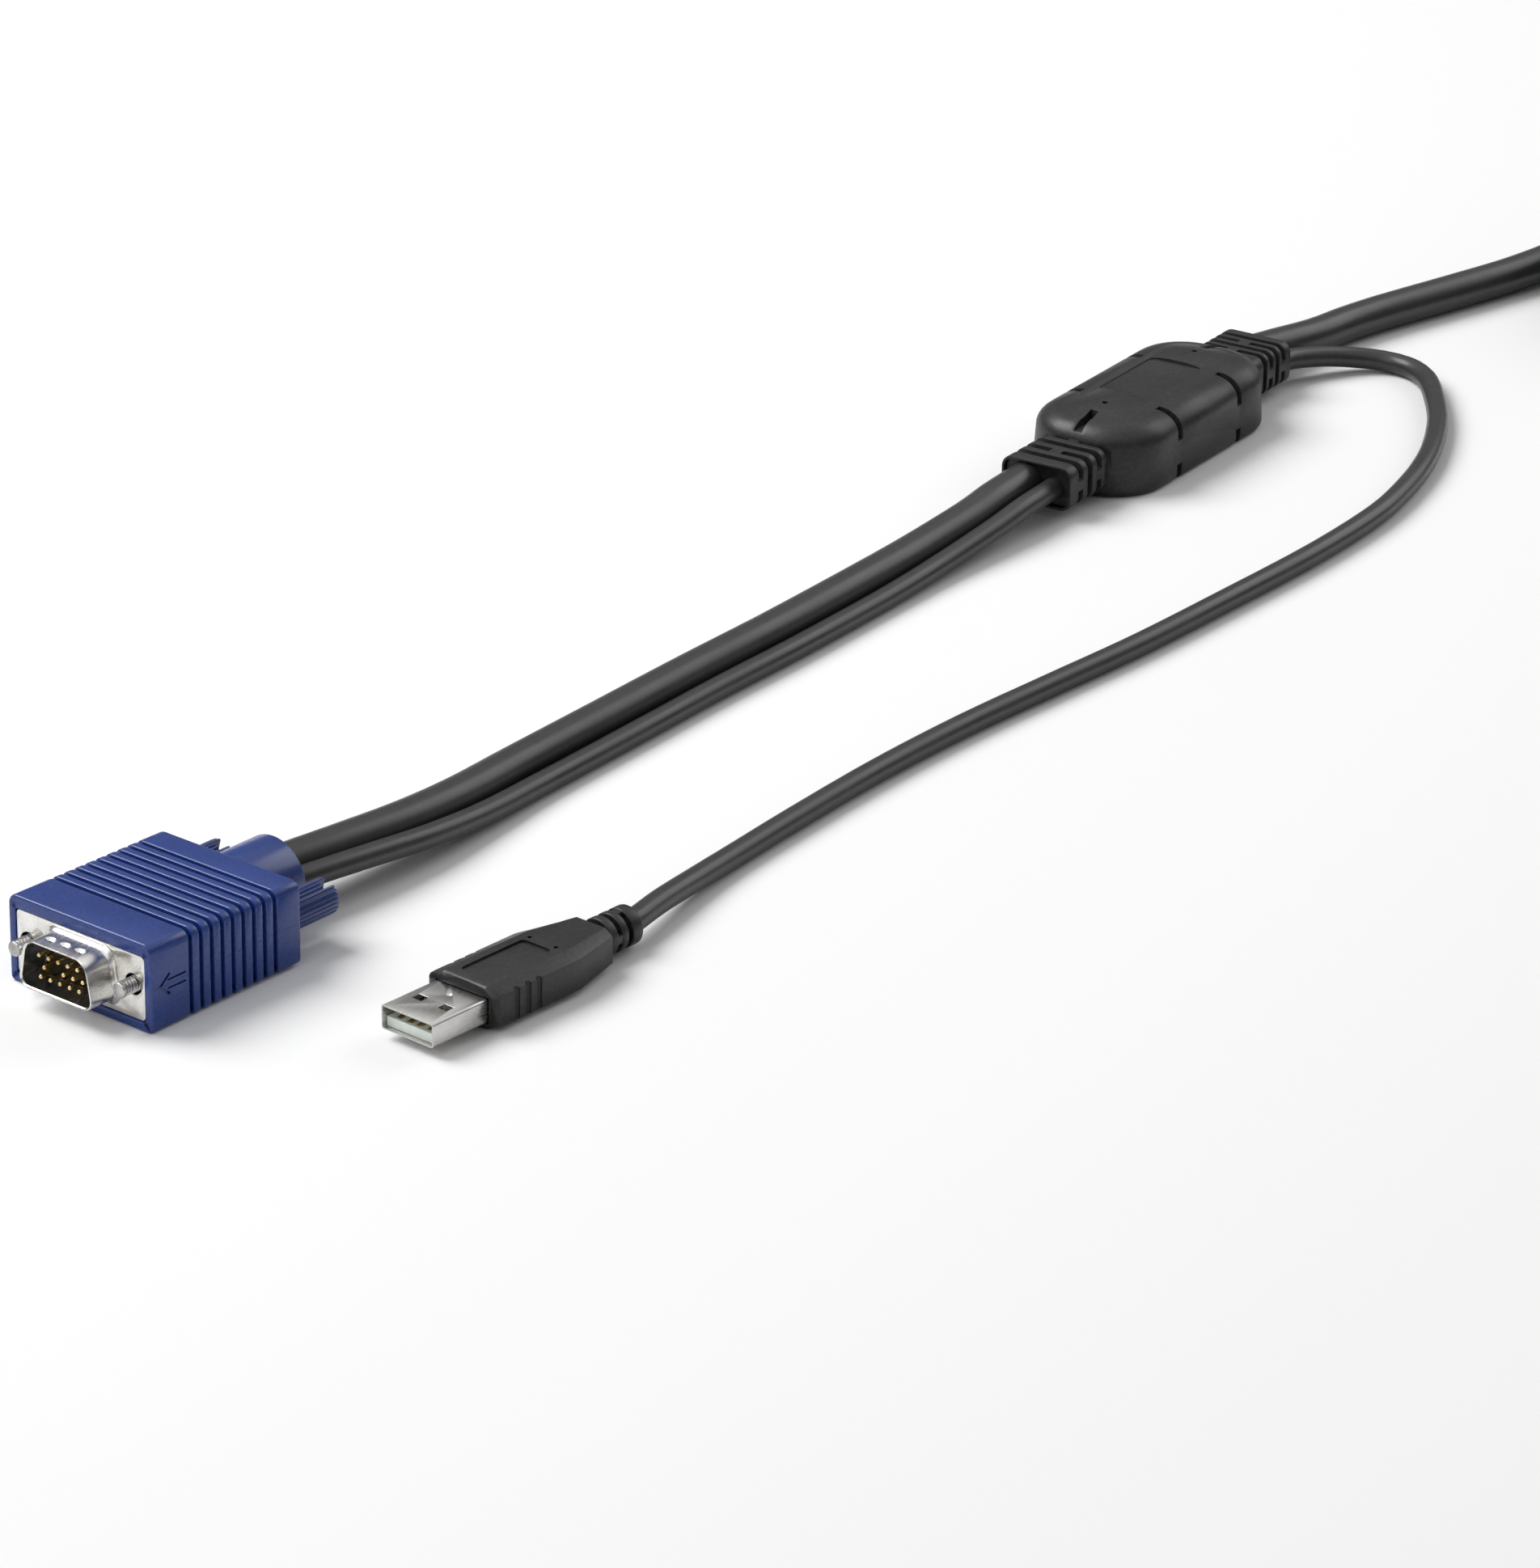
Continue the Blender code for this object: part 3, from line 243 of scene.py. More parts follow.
class Wire:  # one socket of a material, which takes part in Python arithmetic
    def __init__(self, tree, socket=None):
        self.tree = tree
        self.socket = socket

    def node(self, kind, settings=None, inputs=None, output=0):
        made = self.tree.nodes.new(kind)
        for name, value in (settings or {}).items():
            setattr(made, name, value)
        for name, value in (inputs or {}).items():
            if isinstance(value, Wire):
                self.tree.links.new(value.socket, made.inputs[name])
            else:
                made.inputs[name].default_value = value
        return Wire(self.tree, made.outputs[output])

    def maths(self, operation, a, b=0.0):
        return self.node("ShaderNodeMath", {"operation": operation}, {0: a, 1: b})

    def __add__(self, other):
        return self.maths("ADD", self, other)

    __radd__ = __add__

    def __sub__(self, other):
        return self.maths("SUBTRACT", self, other)

    def __rsub__(self, other):
        return self.maths("SUBTRACT", other, self)

    def __mul__(self, other):
        return self.maths("MULTIPLY", self, other)

    __rmul__ = __mul__

    def between(self, low, high):  # 0 below low and 1 above high
        return self.node("ShaderNodeMapRange", {"interpolation_type": "SMOOTHSTEP"},
                         {"Value": self, "From Min": low, "From Max": high})


def newMaterial(name, roughness, metallic=0.0, **fixed):
    material = bpy.data.materials.new(name)
    material.use_nodes = True
    shader = material.node_tree.nodes["Principled BSDF"]
    shader.inputs["Roughness"].default_value = roughness
    shader.inputs["Metallic"].default_value = metallic
    for socket, value in fixed.items():
        shader.inputs[socket.replace("_", " ")].default_value = value
    return material, shader, Wire(material.node_tree)


def noise(wire, place, scale, detail=2.0, rough=0.5):
    inputs = {"Vector": place, "Scale": scale, "Detail": detail, "Roughness": rough}
    return wire.node("ShaderNodeTexNoise", {}, inputs)


def mixed(wire, share, first, second):
    mix = wire.node("ShaderNodeMix", {"data_type": "RGBA"}, {}, output=2)
    node = mix.socket.node
    wire.tree.links.new(share.socket, node.inputs[0])
    node.inputs[6].default_value = (*first, 1)
    node.inputs[7].default_value = (*second, 1)
    return mix


def feed(wire, shader, socket, value):
    wire.tree.links.new(value.socket, shader.inputs[socket])


def bumped(wire, shader, height, strength, distance):
    inputs = {"Height": height, "Strength": strength, "Distance": distance * mm}
    feed(wire, shader, "Normal", wire.node("ShaderNodeBump", {}, inputs))


# What a user would change of each finish: two shades, roughness low and high, grain per metre
finishes = {
    "blue": {"dark": (0.009, 0.034, 0.185), "light": (0.017, 0.052, 0.265), "rough": (0.22, 0.30),
             "sheen": 0.52, "grain": 1500, "bump": 0.16},
    "blueKnob": {"dark": (0.022, 0.044, 0.160), "light": (0.038, 0.066, 0.245), "rough": (0.34, 0.44),
                 "sheen": 0.48, "grain": 1500, "bump": 0.14},
    "black": {"dark": (0.006, 0.006, 0.0062), "light": (0.021, 0.021, 0.021), "rough": (0.34, 0.48),
              "sheen": 0.42, "grain": 1150, "bump": 0.75},
    "tie": {"dark": (0.006, 0.006, 0.006), "light": (0.018, 0.018, 0.019), "rough": (0.60, 0.75),
            "sheen": 0.3, "grain": 1500, "bump": 0.6},
    "jacket": {"dark": (0.021, 0.021, 0.0205), "light": (0.031, 0.031, 0.030), "rough": (0.30, 0.38),
               "sheen": 0.50, "grain": 600, "bump": 0.10},
    "insulator": {"dark": (0.012, 0.020, 0.028), "light": (0.020, 0.032, 0.044), "rough": (0.28, 0.36),
                  "sheen": 0.4, "grain": 900, "bump": 0.05},
    "tongue": {"dark": (0.72, 0.80, 0.72), "light": (0.85, 0.90, 0.84), "rough": (0.34, 0.44),
               "sheen": 0.5, "grain": 600, "bump": 0.05},
}
grainDepth = 0.05
broadGrain = 60.0  # slow change of shade, per metre


def plastic(name):
    look = finishes[name]
    material, shader, wire = newMaterial(name, 0.5, 0.0, Specular_IOR_Level=look["sheen"])
    place = wire.node("ShaderNodeTexCoord", output="Object")
    fine = noise(wire, place, look["grain"], 3.0, 0.6)
    broad = noise(wire, place, broadGrain, 3.0, 0.55)
    share = fine.between(0.35, 0.72) * 0.65 + broad.between(0.3, 0.7) * 0.35
    feed(wire, shader, "Base Color", mixed(wire, share, look["dark"], look["light"]))
    low, high = look["rough"]
    feed(wire, shader, "Roughness", broad.between(0.25, 0.75) * (high - low) + low)
    bumped(wire, shader, fine, look["bump"], grainDepth)
    return material


metals = {  # two shades, roughness low and high, drawn lines and smudges per metre
    "nickel": {"dark": (0.62, 0.60, 0.57), "light": (0.86, 0.85, 0.82), "rough": (0.20, 0.30),
               "lines": 900, "smudge": 230, "bump": 0.04},
    # the USB shell's nickel is a darker copy of the plug nickel: painted shade, standing for the darker
    # reflection its top shows
    "usbNickelPaintedShade": {"dark": (0.50, 0.49, 0.475), "light": (0.60, 0.59, 0.575), "rough": (0.26, 0.30),
                  "lines": 1300, "smudge": 120, "bump": 0.012},
    "steel": {"dark": (0.30, 0.29, 0.28), "light": (0.60, 0.59, 0.57), "rough": (0.22, 0.32),
              "lines": 1400, "smudge": 300, "bump": 0.06},
    "gold": {"dark": (0.62, 0.42, 0.15), "light": (0.92, 0.72, 0.38), "rough": (0.18, 0.28),
             "lines": 900, "smudge": 300, "bump": 0.04},
}
lineDepth = 0.02
lineStretch = 0.08  # drawn lines run along X


def metal(name):
    look = metals[name]
    material, shader, wire = newMaterial(name, 0.25, 1.0)
    place = wire.node("ShaderNodeTexCoord", output="Object")
    drawn = wire.node("ShaderNodeMapping", {}, {"Vector": place, "Scale": (lineStretch, 1.0, 1.0)})
    lines = noise(wire, drawn, look["lines"] * 2.0, 2.0, 0.6)
    smudge = noise(wire, place, look["smudge"], 3.0, 0.6)
    share = smudge.between(0.34, 0.60) * 0.7 + lines.between(0.35, 0.65) * 0.3
    feed(wire, shader, "Base Color", mixed(wire, share, look["dark"], look["light"]))
    low, high = look["rough"]
    feed(wire, shader, "Roughness", (lines.between(0.3, 0.7) + smudge) * ((high - low) / 2) + low)
    bumped(wire, shader, lines, look["bump"], lineDepth)
    return material


paints = {name: plastic(name) for name in finishes}
paints.update({name: metal(name) for name in metals})
print("materials made")


# Camera, from the standard sizes of the two plugs

cameraPlace = Vector((-1.1744, -0.6627, 0.5177))
pitch = math.radians(23.814)
roll = math.radians(0.685)
ahead = Vector((0.8415 * math.cos(pitch), 0.5402 * math.cos(pitch), -math.sin(pitch))).normalized()
right = Vector((0.5402, -0.8415, 0.0)).normalized()
up = right.cross(ahead)
camera = bpy.data.objects.new("camera", bpy.data.cameras.new("camera"))
bpy.context.scene.collection.objects.link(camera)
camera.data.lens = 161.03
camera.data.sensor_width = 36.0
camera.data.clip_start = 0.02
camera.data.clip_end = 20.0
across = right * math.cos(roll) + up * math.sin(roll)
upward = up * math.cos(roll) - right * math.sin(roll)
camera.matrix_world = Matrix((
    (across.x, upward.x, -ahead.x, cameraPlace.x),
    (across.y, upward.y, -ahead.y, cameraPlace.y),
    (across.z, upward.z, -ahead.z, cameraPlace.z),
    (0, 0, 0, 1),
))
bpy.context.scene.camera = camera


# Cords

thickRadius = 3.88
thinRadius = 2.22

cordRoutes = {  # millimetres, from one end to the other
    "vgaCord": [(-286.5, 14.9, 7.6), (-283.6, 14.1, 7.6), (-276, 12.5, 7.4), (-266, 10.7, 7),
                (-250, 8.8, 6), (-233, 8.5, 4.8), (-214, 8.9, 4), (-188, 7.9, 3.93), (-161, 6.8, 3.93),
                (-134, 5.3, 3.93), (-105, 4.4, 3.93), (-85, 3.9, 4.1), (-66, 3, 5.2), (-56, 2.9, 6.1),
                (-46, 2.9, 6.4), (-43.6, 2.9, 6.4)],
    "linkCord": [(-286.5, 8.3, 7.6), (-283.6, 7.5, 7.6), (-276, 5.9, 7.3), (-266, 4.2, 6.6),
                 (-250, 2.4, 5), (-233, 2.2, 3.3), (-214, 2.4, 2.4), (-188, 1.5, 2.27), (-161, 0.6, 2.27),
                 (-134, -0.9, 2.27), (-105, -1.8, 2.3), (-85, -2.3, 3), (-66, -3.3, 4.7),
                 (-56, -3.6, 5.8), (-46, -3.6, 6.1), (-43.6, -3.6, 6.1)],
    "usbCord": [(43.6, -4.0, 5.4), (46, -4.2, 5.3), (51, -5.2, 5), (57.8, -8.7, 4.2), (63.4, -13, 3.2),
                (66.9, -18.4, 2.5), (67, -24.6, 2.27), (63, -30.8, 2.27), (55, -36.9, 2.27),
                (43.4, -44, 2.27), (30.7, -49.8, 2.27), (18.4, -54, 2.27), (4, -57.2, 2.27),
                (-12.8, -59.2, 2.27), (-37.9, -59, 2.27), (-67.5, -56.7, 2.27), (-96.6, -54, 2.27),
                (-122.9, -50.3, 2.27), (-148.7, -46.8, 2.27), (-175.3, -44.6, 2.27), (-202.3, -43.8, 2.27),
                (-222, -43.7, 2.3), (-236, -44.3, 2.9), (-248, -45.4, 3.8), (-258.5, -46.45, 4.05),
                (-262, -46.0, 4.05)],
    "mainLead": [(43.6, 2.9, 5.9), (46, 2.9, 5.8), (55, 1.3, 5.1), (67.5, -1.2, 4.2), (78, -2.8, 3.95),
                 (88, -5.3, 3.93), (97.5, -8.3, 3.93), (110.7, -12.6, 3.93), (124.3, -16.8, 3.93),
                 (134.5, -19.8, 4.3), (146, -23.2, 5.2), (159, -26.95, 5.38)],
    "mainTail": [(143, -124.4, 13.14), (131.7, -124.4, 13.1), (124, -124.4, 12.4), (116, -124.4, 9.6),
                 (108.6, -124.4, 8.4), (105.5, -124.4, 8.2)],
}

coil = {"x": 158.9, "y": -76.6, "radius": 40.0, "foot": 1.5, "start": 74.0, "turns": 5.456, "step": 5}


def smoothStep(value, low, high):
    share = min(max((value - low) / (high - low), 0), 1)
    return share * share * (3 - 2 * share)


def coilPoints():  # three turns below and three above, each a cord's width from the next
    wide = 2 * thickRadius
    low = coil["foot"] + thickRadius
    points = []
    count = int(coil["turns"] * 360 / coil["step"])
    for index in range(1, count):
        turn = index * coil["turns"] / count
        radius = coil["radius"] + wide * (1 - smoothStep(turn, 0.8, 1.0) - smoothStep(turn, 1.8, 2.0))
        radius += wide * (smoothStep(turn, 3.46, 3.62) + smoothStep(turn, 4.46, 4.62))
        height = low + wide * smoothStep(turn, 2.62, 2.8)
        angle = math.radians(coil["start"] - 360 * turn)
        points.append((coil["x"] + radius * math.cos(angle), coil["y"] + radius * math.sin(angle), height))
    return points


def smoothRoute(route, spacing=2.5):
    knots = [Vector(point) for point in route]
    knots = [2 * knots[0] - knots[1]] + knots + [2 * knots[-1] - knots[-2]]
    fine = []
    for before, start, end, after in zip(knots, knots[1:], knots[2:], knots[3:]):
        steps = max(2, round((end - start).length / spacing))
        for step in range(steps):
            t = step / steps
            leave = (end - before) / 2
            arrive = (after - start) / 2
            fine.append(start * (2 * t ** 3 - 3 * t ** 2 + 1) + leave * (t ** 3 - 2 * t ** 2 + t)
                        + end * (3 * t ** 2 - 2 * t ** 3) + arrive * (t ** 3 - t ** 2))
    return fine + [knots[-2]]


def makeCord(name, points, radius, node):
    line = bpy.data.curves.new(name, "CURVE")
    line.dimensions = "3D"
    line.bevel_depth = radius * mm
    line.bevel_resolution = 6
    line.use_fill_caps = True
    spline = line.splines.new("POLY")
    spline.points.add(len(points) - 1)
    for knot, point in zip(spline.points, points):
        knot.co = (*(Vector(point) * mm), 1)
    spline.use_smooth = True
    cord = bpy.data.objects.new(name, line)
    bpy.context.scene.collection.objects.link(cord)
    return dress(cord, paints["jacket"], nodes=node)


mainRoute = smoothRoute(cordRoutes["mainLead"]) + coilPoints() + smoothRoute(cordRoutes["mainTail"])
mainNodes = ["main_cord", "main_cord_coil", "main_cord_tail"]
cords = {
    "vgaCord": makeCord("vgaCord", smoothRoute(cordRoutes["vgaCord"]), thickRadius, ["vga_cord"]),
    "linkCord": makeCord("linkCord", smoothRoute(cordRoutes["linkCord"]), thinRadius, ["link_cord"]),
    "usbCord": makeCord("usbCord", smoothRoute(cordRoutes["usbCord"]), thinRadius, ["usb_cord"]),
    "mainCord": makeCord("mainCord", mainRoute, thickRadius, mainNodes),
}
print("cords made")


# Video plug

screwPlace = 12.5  # each thumbscrew's distance from the plug's middle
hoodSizes = {"width": 33.8, "front": 16.4, "back": 15.5, "length": 36.7, "corner": 1.8, "footCorner": 1.0,
             "grooves": 9, "first": 9.8, "pitch": 2.58, "groove": 0.86, "deep": 1.05, "ribRound": 0.34,
             "rim": 1.6, "rimTop": 2.4, "rimFoot": 1.8, "mouth": 1.9, "mouthEdge": 0.18, "edge": 0.45,
             "bore": 2.2, "boreDeep": 9, "bossRadius": 7.6, "bossLength": 11.3, "bossRim": 0.9,
             "bossHollow": 0.7, "seamHalf": 0.07, "seamRise": 0.05, "seamClear": 0.8}


def makeHood(name, grooves):
    size = hoodSizes
    wide, high, length = size["width"] / 2, size["front"] / 2, size["length"]
    middles = [size["first"] + index * size["pitch"] for index in range(grooves)]
    edges = [middle + side * size["groove"] / 2 for middle in middles for side in (-1, 1)]

    def inGroove(x):
        return any(abs(x - middle) < size["groove"] / 2 for middle in middles)

    def onEdge(x):
        return any(abs(x - edge) < 0.01 for edge in edges)

    def onEnd(x):
        return x < 0.01 or x > length - 0.01

    def outer(place):
        return max(abs(place.y) / wide, abs(place.z) / (high - 0.45 * place.x / length)) > 0.955

    hood = addBox(name, (0, -wide, -high), (length, wide, high))
    edit(hood)
    pickEdges(hood, lambda place, way: abs(way.x) > 0.9 and place.z > 0)
    bevel(size["corner"], 6)
    pickEdges(hood, lambda place, way: abs(way.x) > 0.9 and place.z < 1 - high and abs(place.y) > wide - 0.1)
    bevel(size["footCorner"], 5)
    pickPoints(hood, lambda place: place.x > length - 0.01)
    stretch(z=size["back"] / size["front"])
    cutAcross(edges)
    if grooves:
        pickFaces(hood, lambda place, normal: abs(normal.x) < 0.5 and inGroove(place.x))
        bpy.ops.mesh.extrude_region()
        stretch(y=1 - size["deep"] / wide, z=1 - size["deep"] / (high - 0.2))
    # the mouth: a rim round a pocket for the metal plate
    pickFaces(hood, lambda place, normal: normal.x < -0.9 and place.x < 0.01)
    bpy.ops.mesh.inset(thickness=size["rim"] * mm)
    window = high - (size["rimTop"] + size["rimFoot"]) / 2
    stretch(z=window / (high - size["rim"]))
    shift(z=(size["rimFoot"] - size["rimTop"]) / 2)
    bpy.ops.mesh.extrude_region()
    shift(x=size["mouth"])
    if grooves:
        pickEdges(hood, lambda place, way: abs(way.x) < 0.5 and outer(place) and onEdge(place.x))
        bevel(size["ribRound"], 4)
    pickEdges(hood, lambda place, way: abs(way.x) < 0.5 and onEnd(place.x) and outer(place))
    bevel(size["edge"], 4)
    pickEdges(hood, lambda place, way: abs(way.x) < 0.5 and place.x < 0.01 and not outer(place))
    bevel(size["mouthEdge"], 2)
    done()
    for side in (-1, 1):
        combine(hood, addRod("bore", size["bore"], -1, size["boreDeep"], y=side * screwPlace, sides=32))
    arrowOn(hood)
    clear, half = size["seamClear"], size["seamHalf"]
    stops = [0.6 - clear] + middles + [length - 0.6 + clear]
    seam = []
    for before, after in zip(stops, stops[1:]):  # the parting line of the mould, proud by a hair
        for side in (-1, 1):
            across = sorted((side * (wide - 0.3), side * (wide + size["seamRise"])))
            seam.append(addBox("seam", (before + clear, across[0], -half), (after - clear, across[1], half)))
    boss = addRod("boss", size["bossRadius"], length - 1, length + size["bossLength"], sides=72)
    edit(boss)
    end = length + size["bossLength"]
    pickFaces(boss, lambda place, normal: normal.x > 0.9)
    bpy.ops.mesh.inset(thickness=size["bossRim"] * mm)
    bpy.ops.mesh.extrude_region()
    shift(x=-size["bossHollow"])
    pickEdges(boss, lambda place, way: abs(place.x - end) < 0.01 and abs(way.x) < 0.5)
    bevel(0.3, 3)
    done()
    return joined(name, [hood, boss] + seam)


arrowSizes = {"tip": 2.0, "headEnd": 5.2, "tilt": 38, "headHalf": 0.25, "headDeep": 0.42,
              "shaft": (4.0, 8.4), "level": 0.8, "shaftHalf": 0.18, "shaftDeep": 0.35}


def arrowOn(hood):  # a shallow arrow in each side, pointing to the mouth
    size = arrowSizes
    wide = hoodSizes["width"] / 2
    strokes = []
    for tilt in (-size["tilt"], size["tilt"]):
        stroke = addBox("stroke", (size["tip"], -wide - 0.5, -size["headHalf"]),
                        (size["headEnd"], -wide + size["headDeep"], size["headHalf"]))
        strokes.append(turned(stroke, tilt, (size["tip"] + 0.1, 0, 0), axis=1))
    for level in (-size["level"], size["level"]):
        strokes.append(addBox("stroke", (size["shaft"][0], -wide - 0.5, level - size["shaftHalf"]),
                              (size["shaft"][1], -wide + size["shaftDeep"], level + size["shaftHalf"])))
    for stroke in strokes:
        other = mirrored(stroke, "stroke", 1)
        combine(hood, stroke)
        combine(hood, other)


shellSizes = {"half": 8.9, "halfTop": 7.278, "high": 4.6, "corner": 2.4, "mouth": -5.9, "root": -1.9,
              "wall": 0.45, "lip": 0.14, "plateFront": 0.2, "plateBack": 1.0, "plateHalf": 15.2,
              "plateLow": -6.3, "plateTop": 5.7, "plateCorner": 0.9, "screwHole": 1.95,
              "flare": [(-0.9, 0.04), (-0.5, 0.16), (-0.2, 0.36), (0.0, 0.58), (0.14, 0.8)],
              "dimple": {"x": -3.3, "spacing": 3.5, "radius": 1.45, "rise": 0.72,
                         "squash": (0.85, 1.1, 0.82)},
              "insulator": (0.3, 6.3)}


def dSolid(name, start, end, grow):  # the plug's D shape, wide side down
    size = shellSizes
    half, high = size["half"] + grow, size["high"] + grow
    solid = addBox(name, (start, -half, -high), (end, half, high))
    edit(solid)
    pickPoints(solid, lambda place: place.z > 0)
    stretch(y=(size["halfTop"] + grow) / half)
    pickEdges(solid, lambda place, way: abs(way.x) > 0.9)
    bevel(size["corner"] + grow, 8)
    done()
    return solid


def makeFrontShell(name):
    size = shellSizes
    tube = dSolid(name, size["mouth"], size["root"], 0.0)
    edit(tube)
    pickFaces(tube, lambda place, normal: abs(normal.x) > 0.9)
    bpy.ops.mesh.delete(type="FACE")
    last = 0.0
    place = size["root"]
    for x, grow in size["flare"]:
        pickEdges(tube, lambda spot, way: abs(spot.x - place) < 0.001 and abs(way.x) < 0.5)
        bpy.ops.mesh.extrude_region()
        shift(x=x - place)
        stretch(y=(size["half"] + grow) / (size["half"] + last),
                z=(size["high"] + grow) / (size["high"] + last))
        last, place = grow, x
    pickEdges(tube, lambda spot, way: abs(spot.x - size["mouth"]) < 0.001 and abs(way.x) < 0.5)
    bpy.ops.mesh.extrude_region()
    shift(x=-size["lip"])
    stretch(y=1 - size["lip"] / size["half"], z=1 - size["lip"] / size["high"])
    done()
    modify(tube, "SOLIDIFY", thickness=size["wall"] * mm, offset=-1)
    for side in (-1, 0, 1):  # the three dimples that grip the socket
        dent = size["dimple"]
        place = (dent["x"], side * dent["spacing"], size["high"] + dent["rise"])
        combine(tube, addBall("dimple", dent["radius"], place, dent["squash"]))
    softEdges(tube, 0.08, 2, 50)
    plate = addBox("plate", (size["plateFront"], -size["plateHalf"], size["plateLow"]),
                   (size["plateBack"], size["plateHalf"], size["plateTop"]))
    edit(plate)
    pickEdges(plate, lambda spot, way: abs(way.x) > 0.9)
    bevel(size["plateCorner"], 5)
    done()
    combine(plate, dSolid("opening", -1, 3, -0.2))
    for side in (-1, 1):
        combine(plate, addRod("screwHole", size["screwHole"], -1, 3, y=side * screwPlace, sides=40))
    softEdges(plate, 0.12, 2, 50)
    return joined(name, [tube, plate])


pinSizes = {"radius": 0.43, "tip": -5.3, "root": 1.0, "round": 0.3, "pitch": 2.29, "rowGap": 1.98,
            "shifts": (0.0, 1.2, 0.3), "missing": 9}


def makePins(prefix, spot):
    size = pinSizes
    model = addRod("pin", size["radius"], size["tip"], size["root"], sides=20)
    edit(model)
    pickEdges(model, lambda place, way: abs(place.x - size["tip"]) < 0.001 and abs(way.x) < 0.5)
    bevel(size["round"], 4)
    done()
    made = []
    for row, shiftOver in enumerate(size["shifts"]):
        for column in range(5):
            number = (3 - row) * 5 - column
            if number == size["missing"]:
                continue
            y = -((column - 2) * size["pitch"] + shiftOver)
            pin = laid(copyOf(model, f"{prefix}Pin{number:02d}", 0, y, (1 - row) * size["rowGap"]), spot)
            made.append(dress(pin, paints["gold"], nodes=[f"{prefix}_pin_{number:02d}"]))
    bpy.data.objects.remove(model, do_unlink=True)
    return made


screwSizes = {"radius": 1.42, "tip": -3.4, "thread": 0.7, "deep": 0.34, "turns": 7, "lead": 0.45,
              "round": 0.35, "end": 43.5}
knobSizes = {"radius": 3.4, "start": 37.0, "end": 47.7, "flutes": 24, "deep": 0.34, "slot": 2.0,
             "slotDeep": 2.3, "turn": 16.0, "rounding": [(0.14, 0.985), (0.12, 0.965), (0.10, 0.93)],
             "roundLength": 0.36, "bore": 1.7, "boreDeep": 6.8}


def makeThumbscrew(prefix, side, plugSpot):
    label = "left" if side > 0 else "right"
    size = screwSizes
    screw = addRod(f"{prefix}Screw{label.title()}", size["radius"], size["tip"], size["end"], sides=32)
    edit(screw)
    step = size["thread"] / 4
    start = size["tip"] + size["lead"]
    places = [start + index * step for index in range(size["turns"] * 4 + 1)]
    cutAcross(places)
    for index, place in enumerate(places):
        if index % 4 in (2, 3):
            pickPoints(screw, lambda spot: abs(spot.x - place) < 0.01)
            stretch(y=1 - size["deep"] / size["radius"], z=1 - size["deep"] / size["radius"])
    # a thread climbs as it goes round, so its rings lean a little
    pickPoints(screw, lambda spot: start - 0.01 < spot.x < places[-1] + 0.01)
    mesh = bmesh.from_edit_mesh(screw.data)
    for vert in mesh.verts:
        if vert.select:
            vert.co.x += vert.co.z / (size["radius"] * mm) * size["thread"] / 4 * mm
    bmesh.update_edit_mesh(screw.data)
    pickEdges(screw, lambda spot, way: abs(spot.x - size["tip"]) < 0.001)
    bevel(size["round"], 3)
    done()
    shape = knobSizes
    sides = shape["flutes"] * 4
    knob = addRod(f"{prefix}Knob{label.title()}", shape["radius"], shape["start"],
                  shape["end"] - shape["roundLength"], sides=sides)
    edit(knob)

    def inFlute(spot):
        return round(math.atan2(spot.z, spot.y) / math.tau * sides) % 4 in (0, 1)

    pickPoints(knob, inFlute)
    stretch(y=1 - shape["deep"] / shape["radius"], z=1 - shape["deep"] / shape["radius"])
    pickFaces(knob, lambda place, normal: normal.x > 0.9)
    last = 1.0
    for forward, share in shape["rounding"]:
        bpy.ops.mesh.extrude_region()
        shift(x=forward)
        stretch(y=share / last, z=share / last)
        last = share
    done()
    slot = addBox("slot", (shape["end"] - shape["slotDeep"], -shape["slot"] / 2, -5),
                  (shape["end"] + 1, shape["slot"] / 2, 5))
    combine(knob, turned(slot, shape["turn"], (0, 0, 0)))
    combine(knob, addRod("knobBore", shape["bore"], shape["start"] - 1, shape["start"] + shape["boreDeep"],
                         sides=32))
    for piece, paint, node, slotName in ((screw, "steel", "screw", "steel"),
                                         (knob, "blueKnob", "knob", "blue_plastic")):
        piece.location.y = side * screwPlace * mm
        settle(piece)
        laid(piece, plugSpot)
        dress(piece, paints[paint], body=f"{prefix}_thumbscrew_{label}", nodes=[f"{prefix}_{node}_{label}"],
              angle=28)
    return [screw, knob]


def makeVideoPlug(prefix, spot, grooves):
    hood = laid(makeHood(prefix + "Hood", grooves), spot)
    dress(hood, paints["blue"], nodes=[prefix + "_hood"])
    shell = laid(makeFrontShell(prefix + "FrontShell"), spot)
    dress(shell, paints["nickel"], nodes=[prefix + "_front_shell"], angle=40)
    low, high = shellSizes["insulator"]
    block = dSolid(prefix + "Insulator", low, high, -shellSizes["wall"] - 0.05)
    softEdges(block, 0.2, 2, 50)
    dress(laid(block, spot), paints["insulator"], nodes=[prefix + "_insulator"])
    made = [hood, shell, block] + makePins(prefix, spot)
    for side in (-1, 1):
        made += makeThumbscrew(prefix, side, spot)
    print(prefix, "plug made")
    return made


makeVideoPlug("vga", vgaSpot, hoodSizes["grooves"])
farPlug = makeVideoPlug("far", farSpot, 0)


# USB plug

